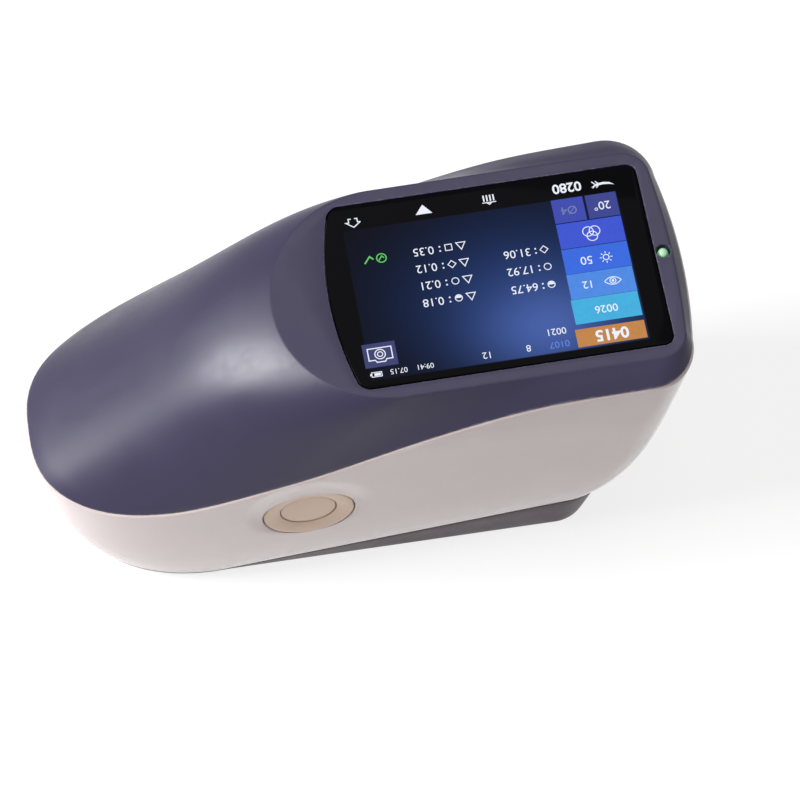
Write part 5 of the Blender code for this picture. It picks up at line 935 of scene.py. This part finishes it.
def number(mesh, text, x, y, height, align="CENTER", bold=0):
    """Adds plain figures to a mesh, upright for a reader on the +Y side."""
    curve = bpy.data.curves.new("figures", "FONT")
    curve.body = text
    curve.size = height / CAPITAL_SHARE / 1000
    curve.align_x = align
    curve.align_y = "CENTER"
    curve.offset = bold / 1000
    curve.extrude = (INK_HIGH - INK_LOW) / 2
    curve.resolution_u = 4
    made = bpy.data.objects.new("figures", curve)
    bpy.context.scene.collection.objects.link(made)
    place = spot(x / 1000, y / 1000, (INK_LOW + INK_HIGH) / 2)
    made.matrix_world = place @ Matrix.Rotation(pi, 4, "Z")
    bpy.context.view_layer.update()
    depsgraph = bpy.context.evaluated_depsgraph_get()
    data = bpy.data.meshes.new_from_object(made.evaluated_get(depsgraph))
    data.transform(made.matrix_world)
    mesh.from_mesh(data)
    bpy.data.objects.remove(made, do_unlink=True)
    bpy.data.meshes.remove(data)
    bpy.data.curves.remove(curve)


def tile(name, x0, x1, y0, y1):
    mesh = bmesh.new()
    plan = rounded_rectangle(x0 / 1000, x1 / 1000, y0 / 1000, y1 / 1000, TILE_CORNER, 3)
    prism(mesh, plan, TILE_LOW, TILE_HIGH)
    return piece(name, mesh, 60)


TILES = {
    "tile_angle": (66.9, 75.4, 12.9, 20.2), "tile_spot": (57.5, 66.2, 12.9, 20.2),
    "tile_space": (57.5, 75.4, 4.9, 12.6), "tile_light": (57.4, 75.4, -2.9, 4.7),
    "tile_mode": (57.3, 75.3, -10.6, -3.0), "tile_user": (57.0, 75.2, -18.1, -10.7),
    "tile_sample": (56.4, 75.2, -24.9, -19.6), "tile_camera": (-0.6, 8.3, -21.7, -14.6),
}


# Figures: text, middle, height, then alignment and boldness; readings: figures, colon and sign
UPPER_FIGURES = (
    ("20°", 71.0, 16.6, 2.5), ("50", 63.6, 0.7, 2.5), ("12", 62.6, -6.6, 2.3),
    ("0026", 66.0, -14.5, 2.3), ("0415", 66.0, -22.2, 3.3, "CENTER", 0.12),
    ("0280", 62.6, 23.6, 2.9, "CENTER", 0.08),
)
READINGS = (
    (49.3, 50.6, None, ((5.8, "31.06"), (0.5, "17.92"), (-5.0, "64.75"))),
    (23.6, 25.2, 31.0, ((10.7, "0.35"), (5.5, "0.12"), (0.3, "0.21"), (-4.9, "0.18"))),
)
READING_HEIGHT = 2.45
LOWER_FIGURES = (
    ("0021", 51.4, -19.1, 2.0), ("8", 43.2, -22.8, 2.0), ("12", 32.0, -23.0, 2.0),
    ("09:41", 15.1, -23.5, 1.55), ("07.15", 8.0, -23.6, 1.55),
)
SUN, EYE, CELL = (69.0, 0.7), (69.4, -6.6), (1.9, -23.8)
ARROW = (
    (-3.2, 0.9), (-2.0, 0.0), (-0.3, -0.3), (1.5, -0.1), (3.2, 0.9), (1.2, 0.55), (-0.3, 0.4),
    (-1.8, 0.55),
)
HOUSE = (-2.0, 0.2), (0, 1.7), (2.0, 0.2), (1.2, 0.2), (1.2, -0.9), (0.45, -0.9)
CAMERA_BODY = (
    (-3.2, -2.0), (3.2, -2.0), (3.2, 1.5), (1.6, 1.5), (1.1, 2.2), (-1.1, 2.2), (-1.6, 1.5),
    (-3.2, 1.5),
)


def white_marks():
    mesh = bmesh.new()
    for row in UPPER_FIGURES:
        number(mesh, *row)
    for x, colon_x, sign_x, rows in READINGS:
        for y, value in rows:
            number(mesh, value, x, y, READING_HEIGHT, "LEFT")
            for lift in (-0.55, 0.75):
                solid_mark(mesh, colon_x, y, square(lift, 0.22))
            if sign_x:
                path_mark(mesh, sign_x, y, ((-1.25, -1.0), (1.25, -1.0), (0, 1.15)), 0.26, True)
    for row in LOWER_FIGURES:
        number(mesh, *row)
    reading_signs(mesh)
    tool_icons(mesh)
    return piece("screen_white", mesh, 60)


def square(lift, half):
    return ((-half, lift - half), (half, lift - half), (half, lift + half), (-half, lift + half))


def reading_signs(mesh):
    """Small plain signs before the readings: a half disc, a ring, a diamond and a square."""
    for y, x in ((-5.0, 52.9), (-4.9, 27.6)):
        ring_mark(mesh, x, y, 0.95, 0.24)
        flat(mesh, circle(x, y, 0.8, 14, 0, pi))
    for y, x in ((0.5, 52.9), (0.3, 27.6)):
        ring_mark(mesh, x, y, 0.95, 0.24)
    for y, x in ((5.8, 52.9), (5.5, 27.6)):
        path_mark(mesh, x, y, ((-1.1, 0), (0, -1.1), (1.1, 0), (0, 1.1)), 0.24, True)
    path_mark(mesh, 27.6, 10.7, square(0, 0.9), 0.24, True)


def tool_icons(mesh):
    """Arrow, bars, pointer and house of the tool strip, signs of the tiles, camera and battery."""
    solid_mark(mesh, 72.4, 23.3, ARROW)
    for x in (70.2, 71.2):
        path_mark(mesh, x, 23.2, ((0.6, 1.1), (-0.3, 0.1), (0.6, -0.9)), 0.3)
    for lane in (-1.35, -0.45, 0.45, 1.35):
        bar = ((-0.2, -0.9), (0.2, -0.9), (0.2, 1.0), (-0.2, 1.0))
        solid_mark(mesh, 41.0 + lane, 23.9, bar)
    path_mark(mesh, 41.0, 22.5, ((-1.9, 0), (1.9, 0)), 0.26)
    path_mark(mesh, 41.0, 22.5, ((-0.7, 0), (0, 0.6), (0.7, 0)), 0.3)
    solid_mark(mesh, 22.9, 23.2, ((-2.3, 1.3), (0, -1.6), (2.3, 1.3)))
    path_mark(mesh, 3.5, 22.7, HOUSE, 0.3)
    path_mark(mesh, 3.5, 22.7, ((-2.0, 0.2), (-1.2, 0.2), (-1.2, -0.9), (-0.45, -0.9)), 0.3)
    for x, y in ((65.7, 9.2), (67.5, 9.2), (66.6, 7.7)):
        ring_mark(mesh, x, y, 1.45, 0.24)
    ring_mark(mesh, *SUN, 0.8, 0.26)
    for step in range(8):
        turn = pi / 4 * step
        path_mark(mesh, *SUN, [(r * cos(turn), r * sin(turn)) for r in (1.2, 1.75)], 0.24)
    for side in (-1, 1):
        lid = [(u, side * 1.15 * (1 - (u / 2.3) ** 2)) for u in np.linspace(-2.3, 2.3, 13)]
        path_mark(mesh, *EYE, lid, 0.22)
    ring_mark(mesh, *EYE, 0.8, 0.22)
    flat(mesh, circle(*EYE, 0.36, 16))
    path_mark(mesh, 3.9, -18.1, CAMERA_BODY, 0.3, True)
    ring_mark(mesh, 3.9, -18.0, 1.4, 0.28)
    ring_mark(mesh, 3.9, -18.0, 0.7, 0.26)
    path_mark(mesh, *CELL, ((-1.5, -0.65), (1.2, -0.65), (1.2, 0.65), (-1.5, 0.65)), 0.22, True)
    solid_mark(mesh, *CELL, ((-1.2, -0.4), (0.5, -0.4), (0.5, 0.4), (-1.2, 0.4)))
    solid_mark(mesh, *CELL, ((1.35, -0.3), (1.65, -0.3), (1.65, 0.3), (1.35, 0.3)))


def green_marks():
    mesh = bmesh.new()
    ring_mark(mesh, 9.2, 10.5, 1.3, 0.32)
    path_mark(mesh, 9.2, 10.5, ((-0.7, 0.05), (-0.15, -0.6), (0.8, 0.65)), 0.34)
    path_mark(mesh, 5.7, 10.5, ((-1.3, 0.1), (-0.4, -0.9), (1.2, 1.1)), 0.42)
    return piece("screen_green", mesh, 60)


def one_figure(name, *row):
    mesh = bmesh.new()
    number(mesh, *row)
    return piece(name, mesh, 60)


def blue_marks():
    return one_figure("screen_blue", "0107", 51.6, -23.0, 2.0)


def dim_marks():
    return one_figure("screen_dim", "Ø4", 61.9, 16.6, 2.5)


# Materials


# Reach of the mask that paints edges lighter, partly as wear and partly as a painted highlight
EDGE_WEAR_AND_HIGHLIGHT_REACH = 0.0005
PANEL_MIDDLE, PANEL_HALF = 0.0380, (0.0375, 0.0379)
PANEL_TOP, PANEL_BOTTOM = (0.0200, 0.0203), (-0.0256, -0.0252)
BORDER_BLACK, PANEL_BLACK = (0.0002, 0.0002, 0.0004), (0.0012, 0.0014, 0.0036)
HAZE_BLUE, HEART_BLUE = (0.0115, 0.0320, 0.1250), (0.0600, 0.1150, 0.3800)


class Nodes:
    """Helpers for the nodes of a material or a world."""

    def __init__(self, tree):
        self.nodes, self.links = tree.nodes, tree.links

    def add(self, kind, **settings):
        node = self.nodes.new(kind)
        for key, value in settings.items():
            setattr(node, key, value)
        return node

    def link(self, start, end):
        self.links.new(start, end)

    def ranged(self, value, low, high, to_low, to_high):
        node = self.add("ShaderNodeMapRange")
        self.link(value, node.inputs["Value"])
        keys = ("From Min", "From Max", "To Min", "To Max")
        for key, limit in zip(keys, (low, high, to_low, to_high)):
            node.inputs[key].default_value = limit
        return node.outputs["Result"]

    def maths(self, operation, first, second):
        node = self.add("ShaderNodeMath", operation=operation)
        for socket, value in zip(node.inputs, (first, second)):
            if isinstance(value, (int, float)):
                socket.default_value = value
            else:
                self.link(value, socket)
        return node.outputs["Value"]

    def seen_directly(self):
        """1 for what the camera sees itself, or in metal or through glass, and 0 for its light."""
        rays = self.add("ShaderNodeLightPath").outputs
        direct = self.maths("MAXIMUM", rays["Is Camera Ray"], rays["Is Transmission Ray"])
        return self.maths("MAXIMUM", direct, rays["Is Glossy Ray"])


class Finish(Nodes):
    """A Principled material with helpers for the nodes in front of it."""

    def __init__(self, name):
        self.made = bpy.data.materials.new(name)
        self.made.use_nodes = True
        super().__init__(self.made.node_tree)
        self.shader = self.nodes["Principled BSDF"]
        self.place = self.add("ShaderNodeTexCoord").outputs["Object"]

    def noise(self, scale, detail=3.0, roughness=0.5, stretch=None):
        node = self.add("ShaderNodeTexNoise")
        for key, value in (("Scale", scale), ("Detail", detail), ("Roughness", roughness)):
            node.inputs[key].default_value = value
        source = self.place
        if stretch:
            mapping = self.add("ShaderNodeMapping")
            mapping.inputs["Scale"].default_value = stretch
            self.link(source, mapping.inputs["Vector"])
            source = mapping.outputs["Vector"]
        self.link(source, node.inputs["Vector"])
        return node.outputs["Fac"]

    def drift(self, scale, detail=3, low=0, high=1):
        """Noise spread from low to high."""
        return self.ranged(self.noise(scale, detail), 0.3, 0.7, low, high)

    def mixed(self, factor, first, second):
        node = self.add("ShaderNodeMix", data_type="RGBA")
        self.link(factor, node.inputs["Factor"])
        for socket, value in ((node.inputs[6], first), (node.inputs[7], second)):
            if isinstance(value, tuple):
                socket.default_value = (*value, 1)
            else:
                self.link(value, socket)
        return node.outputs[2]

    def edges(self, radius):
        """0 on open faces and towards 1 on outer edges and inner corners, broken up by noise: the
        mask of the edges painted lighter, partly as wear and partly as a painted highlight.
        """
        bevel = self.add("ShaderNodeBevel", samples=4)
        bevel.inputs["Radius"].default_value = radius
        plain = self.add("ShaderNodeNewGeometry")
        dot = self.add("ShaderNodeVectorMath", operation="DOT_PRODUCT")
        self.link(bevel.outputs["Normal"], dot.inputs[0])
        self.link(plain.outputs["Normal"], dot.inputs[1])
        edge = self.ranged(dot.outputs["Value"], 0.995, 0.80, 0.0, 1.0)
        broken = self.ranged(self.noise(700, 4), 0.42, 0.62, 0.15, 1.0)
        return self.maths("MULTIPLY", edge, broken)

    def bump(self, height, distance):
        node = self.add("ShaderNodeBump")
        node.inputs["Strength"].default_value = 1.0
        node.inputs["Distance"].default_value = distance
        self.link(height, node.inputs["Height"])
        self.feed(node.outputs["Normal"], "Normal")

    def feed(self, value, socket):
        self.link(value, self.shader.inputs[socket])

    def set(self, **values):
        for key, value in values.items():
            socket = self.shader.inputs[key.replace("_", " ")]
            socket.default_value = (*value, 1) if isinstance(value, tuple) else value


def shaded(colour, factor):
    return tuple(min(channel * factor, 1.0) for channel in colour)


def moulded(
    name, colour, rough, grain=2600, depth=0.000004, tint=0.05, wear_and_highlight=0.25, sheen=None, **settings
):
    """Moulded plastic: fine texture, a slow drift in tone, and edges painted lighter, partly as
    wear and partly as a painted highlight.
    """
    made = Finish(name)
    tone = made.mixed(made.drift(38), shaded(colour, 1 - tint), shaded(colour, 1 + tint))
    # Edges are mixed towards the sheen tone: partly wear, partly a painted highlight standing in
    # for light on the rounded edges
    if wear_and_highlight:
        edge = made.maths("MULTIPLY", made.edges(EDGE_WEAR_AND_HIGHLIGHT_REACH), wear_and_highlight)
        tone = made.mixed(edge, tone, sheen or shaded(colour, 2.2))
    made.feed(tone, "Base Color")
    smears = made.drift(90, 4, -0.035, 0.035)
    fine = made.drift(600, 2, rough - 0.02, rough + 0.02)
    made.feed(made.maths("ADD", smears, fine), "Roughness")
    made.bump(made.noise(grain, 2, 0.6), depth)
    made.set(**settings)
    return made.made


def metal(name, colour, rough, stretch=(1, 14, 1), grain=900, depth=0.000003, metallic=1.0):
    """Metal with fine lines along the axis whose stretch is least."""
    made = Finish(name)
    brushed = made.noise(grain, 3, 0.55, stretch)
    made.feed(made.mixed(made.drift(60), shaded(colour, 0.93), shaded(colour, 1.06)), "Base Color")
    made.feed(made.ranged(brushed, 0.3, 0.7, rough - 0.07, rough + 0.09), "Roughness")
    made.bump(brushed, depth)
    made.set(Metallic=metallic)
    return made.made


def glow(name, colour, strength=1.0, spread=0.03):
    """A lit mark on the screen, seen through the glass."""
    made = Finish(name)
    low, high = shaded(colour, 1 - spread), shaded(colour, 1 + spread)
    made.feed(made.mixed(made.drift(900, 2), low, high), "Emission Color")
    made.feed(made.drift(120, 3, 0.05, 0.09), "Roughness")
    made.set(Base_Color=(0.002, 0.002, 0.003), Emission_Strength=strength, Specular_IOR_Level=0.2)
    return made.made


def screen_glass():
    """Dark glass over the lit panel: black border, and a blue glow that fades to the sides."""
    made = Finish("screen_glass")
    split = made.add("ShaderNodeSeparateXYZ")
    made.link(made.place, split.inputs["Vector"])
    x, y = split.outputs["X"], split.outputs["Y"]

    def away(value, centre, reach):
        offset = made.maths("SUBTRACT", value, centre)
        return made.maths("POWER", made.maths("DIVIDE", offset, reach), 2)

    def bell(centre_x, centre_y, reach_x, reach_y):
        total = made.maths(
            "ADD", away(x, SCREEN_ZERO + centre_x, reach_x), away(y, centre_y, reach_y)
        )
        return made.maths("POWER", 2.718, made.maths("MULTIPLY", total, -1.0))

    from_middle = made.maths("SUBTRACT", x, SCREEN_ZERO + PANEL_MIDDLE)
    from_middle = made.maths("ABSOLUTE", from_middle, 0)
    inside_x = made.ranged(from_middle, *PANEL_HALF, 1, 0)
    inside_y = made.maths(
        "MULTIPLY", made.ranged(y, *PANEL_TOP, 1, 0), made.ranged(y, *PANEL_BOTTOM, 0, 1)
    )
    panel = made.maths("MULTIPLY", inside_x, inside_y)
    heart = made.maths("MULTIPLY", bell(0.0500, -0.0170, 0.0180, 0.0130), panel)
    haze = made.maths("MULTIPLY", bell(0.0450, -0.0060, 0.0300, 0.0220), panel)
    lit = made.mixed(panel, BORDER_BLACK, PANEL_BLACK)
    for share, colour in ((haze, HAZE_BLUE), (heart, HEART_BLUE)):
        lit = made.mixed(share, lit, colour)
    made.feed(lit, "Emission Color")
    made.feed(made.drift(70, 4, 0.03, 0.075), "Roughness")
    made.set(Base_Color=(0.0015, 0.0015, 0.0020), Emission_Strength=1.0, Specular_IOR_Level=0.02)
    return made.made


# Assembly


FINISHES = {
    # The cover's edges, chiefly the deck's crease, get a strong pale edge mix: a painted highlight
    # along them, with some wear
    "slate_satin": moulded(
        "slate_satin", (0.017, 0.0135, 0.041), 0.39, 2600, 0.0000035, 0.05, 0.5,
        (0.36, 0.35, 0.42), Specular_IOR_Level=0.42,
    ),
    "pale_gloss": moulded(
        "pale_gloss", (0.500, 0.415, 0.405), 0.12, 240, 0.000006, 0.02, 0.15,
        Coat_Weight=0.3, Coat_Roughness=0.03,
    ),
    "dark_grey_moulding": moulded(
        "dark_grey_moulding", (0.055, 0.032, 0.044), 0.38, Specular_IOR_Level=0.22
    ),
    "warm_grey_moulding": moulded("warm_grey_moulding", (0.610, 0.445, 0.345), 0.40),
    "black_moulding": moulded(
        "black_moulding", (0.020, 0.020, 0.022), 0.45, sheen=(0.08, 0.08, 0.085)
    ),
    "screen_black": screen_glass(),
    "panel_grey": moulded("panel_grey", (0.080, 0.085, 0.100), 0.35),
    "soft_black": moulded("soft_black", (0.025, 0.025, 0.025), 0.75, 1800, 0.00001, 0.12, 0.35),
    "pale_green_lens": moulded(
        "pale_green_lens", (0.520, 0.740, 0.540), 0.12, 500, 0.000004, 0.05, 0.1,
        Transmission_Weight=0.35, Emission_Color=(0.10, 0.60, 0.20), Emission_Strength=0.12,
    ),
    "board_green": moulded(
        "board_green", (0.020, 0.110, 0.050), 0.28, 1500, 0.000005, 0.12, 0.3, (0.30, 0.36, 0.20)
    ),
    "sphere_white": moulded("sphere_white", (0.900, 0.890, 0.870), 0.85, 3000, 0.00001, 0.015, 0),
    "battery_wrap": moulded("battery_wrap", (0.050, 0.110, 0.250), 0.25, 300, 0.00002, 0.06, 0.2),
    "ribbon_amber": moulded("ribbon_amber", (0.420, 0.180, 0.040), 0.22, 400, 0.00001, 0.06, 0.1),
    "steel": metal("steel", (0.62, 0.62, 0.60), 0.24),
    "anodised": metal("anodised", (0.090, 0.090, 0.100), 0.38, (1, 1, 1), 2200, 0.000004, 0.85),
    "aluminium": metal("aluminium", (0.720, 0.720, 0.730), 0.30, (14, 1, 1)),
    "lens_glass": moulded(
        "lens_glass", (0.950, 0.970, 0.980), 0.04, 60, 0.000001, 0.01, 0, Transmission_Weight=1.0
    ),
}
GLOWS = {
    "white": glow("ink_white", (0.86, 0.90, 1.0), 0.95),
    "green": glow("ink_green", (0.10, 0.62, 0.10), 0.9),
    "blue": glow("ink_blue", (0.10, 0.22, 0.80), 0.9),
    "dim": glow("ink_dim", (0.16, 0.20, 0.42), 0.9),
}
TILE_COLOURS = {
    "tile_angle": (0.008, 0.022, 0.240), "tile_spot": (0.012, 0.034, 0.390),
    "tile_space": (0.011, 0.055, 0.600), "tile_light": (0.004, 0.107, 0.700),
    "tile_mode": (0.041, 0.215, 0.730), "tile_user": (0.021, 0.390, 0.690),
    "tile_sample": (0.500, 0.200, 0.032), "tile_camera": (0.010, 0.018, 0.130),
}
PIN_GOLD = metal("contact_gold", (0.80, 0.56, 0.22), 0.25)


def finish_with(target, material):
    slots = target.data.materials
    slots.clear()
    slots.append(material)


def dress(made, body, slot, *replaced, material=None):
    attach(made, body)
    if replaced:
        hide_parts(*replaced)
    finish_with(made, material or FINISHES[slot])
    return made


def dress_nodes():
    for row in frame["record"]["subparts"]:
        node = NODES[row["node"]]
        for index in range(max(len(node.material_slots), 1)):
            if node.material_slots:
                node.material_slots[index].material = FINISHES[row["material_slot"]]


COVERED = (
    (make_cover, "casing", "slate_satin", "top_cover"),
    (make_shell, "casing", "pale_gloss", "lower_shell"),
    (make_base, "casing", "dark_grey_moulding", "base_plate"),
    (make_glass, "casing", "screen_black", "screen_glass"),
    (make_ring, "casing", "warm_grey_moulding", "button_ring"),
    (make_button, "measure_button", "warm_grey_moulding", "measure_button"),
    (make_light, "casing", "pale_green_lens", "status_light"),
    (make_aperture, "aperture", "black_moulding", "aperture_ring"),
    (make_jack, "casing", "black_moulding", "power_jack"),
    (make_rocker, "rocker", "black_moulding", "power_rocker"),
)


def dress_casing():
    for build, body, slot, node in COVERED:
        dress(build(), body, slot, node)
    dress(make_rocker_marks(), "rocker", "black_moulding", material=FINISHES["sphere_white"])
    dress(make_contacts(), "casing", "steel", material=PIN_GOLD)
    for number_ in range(1, 5):
        dress(make_foot(number_), "casing", "soft_black", f"foot_{number_}")
        dress(make_base_screw(number_), "casing", "steel", f"base_screw_{number_}")
    for name, width in (("data_socket", 0.0002), ("rocker_body", 0.00018), ("port_seat", 0.0002)):
        soften_node(name, width)


def dress_screen():
    drawn = []
    for name, sides in TILES.items():
        drawn.append((tile(name, *sides), glow(name, TILE_COLOURS[name], 1.0, 0.05)))
    makers = {"white": white_marks, "green": green_marks, "blue": blue_marks, "dim": dim_marks}
    for colour, marks in makers.items():
        drawn.append((marks(), GLOWS[colour]))
    for made, material in drawn:
        made.data.transform(spot(SCREEN_ZERO))
        dress(made, "casing", "screen_black", material=material)


# Stage


FLOOR_LIFT, FLOOR_LIFT_SHARE, FLOOR_LEVEL = 1.20, 0.66, -0.00002
FLOOR_TONES = (0.72, 0.72, 0.72), (0.74, 0.74, 0.74)
BRIGHT_SIDE, STUDIO_LIGHT = (-0.80, 0.55, -0.25), (0.06, 0.17)


def make_floor():
    """White floor that keeps a faint shadow, and is clear from below to show the underside."""
    mesh = bmesh.new()
    corners = [(x, y, FLOOR_LEVEL) for x, y in ((-4, -4), (4, -4), (4, 4), (-4, 4))]
    mesh.faces.new([mesh.verts.new(corner) for corner in corners])
    floor = piece("floor", mesh)
    if floor.data.polygons[0].normal.z < 0:
        floor.data.flip_normals()
    made = Finish("floor")
    made.feed(made.mixed(made.drift(3), FLOOR_TONES[0], FLOOR_TONES[1]), "Base Color")
    made.set(Roughness=0.9, Specular_IOR_Level=0.0)
    direct = made.seen_directly()
    lift = made.add("ShaderNodeEmission")
    lift.inputs["Strength"].default_value = FLOOR_LIFT
    seen = made.add("ShaderNodeMixShader")
    made.link(made.maths("MULTIPLY", direct, FLOOR_LIFT_SHARE), seen.inputs["Fac"])
    made.link(made.shader.outputs["BSDF"], seen.inputs[1])
    made.link(lift.outputs["Emission"], seen.inputs[2])
    clear = made.add("ShaderNodeBsdfTransparent")
    under = made.add("ShaderNodeMixShader")
    made.link(made.add("ShaderNodeNewGeometry").outputs["Backfacing"], under.inputs["Fac"])
    made.link(seen.outputs["Shader"], under.inputs[1])
    made.link(clear.outputs["BSDF"], under.inputs[2])
    made.link(under.outputs["Shader"], made.nodes["Material Output"].inputs["Surface"])
    finish_with(floor, made.made)


def make_world():
    """White behind the object, and round it a studio that is brighter on the tail's side."""
    world = bpy.data.worlds.new("studio")
    bpy.context.scene.world = world
    world.use_nodes = True
    made = Nodes(world.node_tree)
    where = made.add("ShaderNodeTexCoord")
    dot = made.add("ShaderNodeVectorMath", operation="DOT_PRODUCT")
    dot.inputs[1].default_value = Vector(BRIGHT_SIDE).normalized()
    made.link(where.outputs["Generated"], dot.inputs[0])
    around = made.ranged(dot.outputs["Value"], -0.5, 0.9, *STUDIO_LIGHT)
    direct = made.seen_directly()
    choose = made.add("ShaderNodeMix")
    made.link(direct, choose.inputs["Factor"])
    made.link(around, choose.inputs["A"])
    choose.inputs["B"].default_value = 1.0
    back = made.nodes["Background"]
    made.link(choose.outputs["Result"], back.inputs["Strength"])
    back.inputs["Color"].default_value = (1, 1, 1, 1)


def lamp(name, direction, distance, power, size, target=(0, 0, 0.06)):
    data = bpy.data.lights.new(name, "AREA")
    data.energy = power
    data.shape = "RECTANGLE"
    data.size, data.size_y = size
    made = bpy.data.objects.new(name, data)
    bpy.context.scene.collection.objects.link(made)
    away = Vector(direction).normalized()
    made.location = Vector(target) + away * distance
    made.rotation_euler = away.to_track_quat("Z", "Y").to_euler()
    return made


def make_lights():
    lamp("key", (-0.76, 0.07, 0.62), 1.3, 32.0, (0.55, 0.75))
    lamp("back", (0.07, 0.42, 0.90), 1.5, 2.4, (0.8, 0.6))
    lamp("front", (0.05, -0.65, 0.75), 1.6, 5.0, (0.5, 0.3)).visible_glossy = False
    lamp("top", (-0.05, -0.05, 1.0), 1.5, 1.0, (0.5, 0.5))


# Camera, fitted to the photograph: 64 degrees above the floor, turned 11.5 degrees towards the tail


CAMERA_TURN, CAMERA_HEIGHT, CAMERA_ROLL = radians(-11.5), radians(64), radians(-1.7)
CAMERA_PLACE = (-0.07807, -0.45467, 0.98775)
SENSOR_WIDTH = 36

# The fitted focal length is 3720 px in a picture 800 px wide
CAMERA_LENS = SENSOR_WIDTH * 3720 / 800


def make_camera():
    turn, height = CAMERA_TURN, CAMERA_HEIGHT
    back = Vector((sin(turn) * cos(height), -cos(turn) * cos(height), sin(height)))
    level = Vector((cos(turn), sin(turn), 0))
    upright = back.cross(level)
    right = level * cos(CAMERA_ROLL) - upright * sin(CAMERA_ROLL)
    up = level * sin(CAMERA_ROLL) + upright * cos(CAMERA_ROLL)
    data = bpy.data.cameras.new("camera")
    data.lens, data.sensor_width, data.clip_start = CAMERA_LENS, SENSOR_WIDTH, 0.05
    camera = bpy.data.objects.new("camera", data)
    bpy.context.scene.collection.objects.link(camera)
    camera.matrix_world = spot(*CAMERA_PLACE) @ Matrix((right, up, back)).transposed().to_4x4()
    bpy.context.scene.camera = camera


dress_nodes()
dress_casing()
dress_screen()
make_floor()
make_world()
make_lights()
make_camera()
bpy.context.scene.view_settings.view_transform = "Standard"
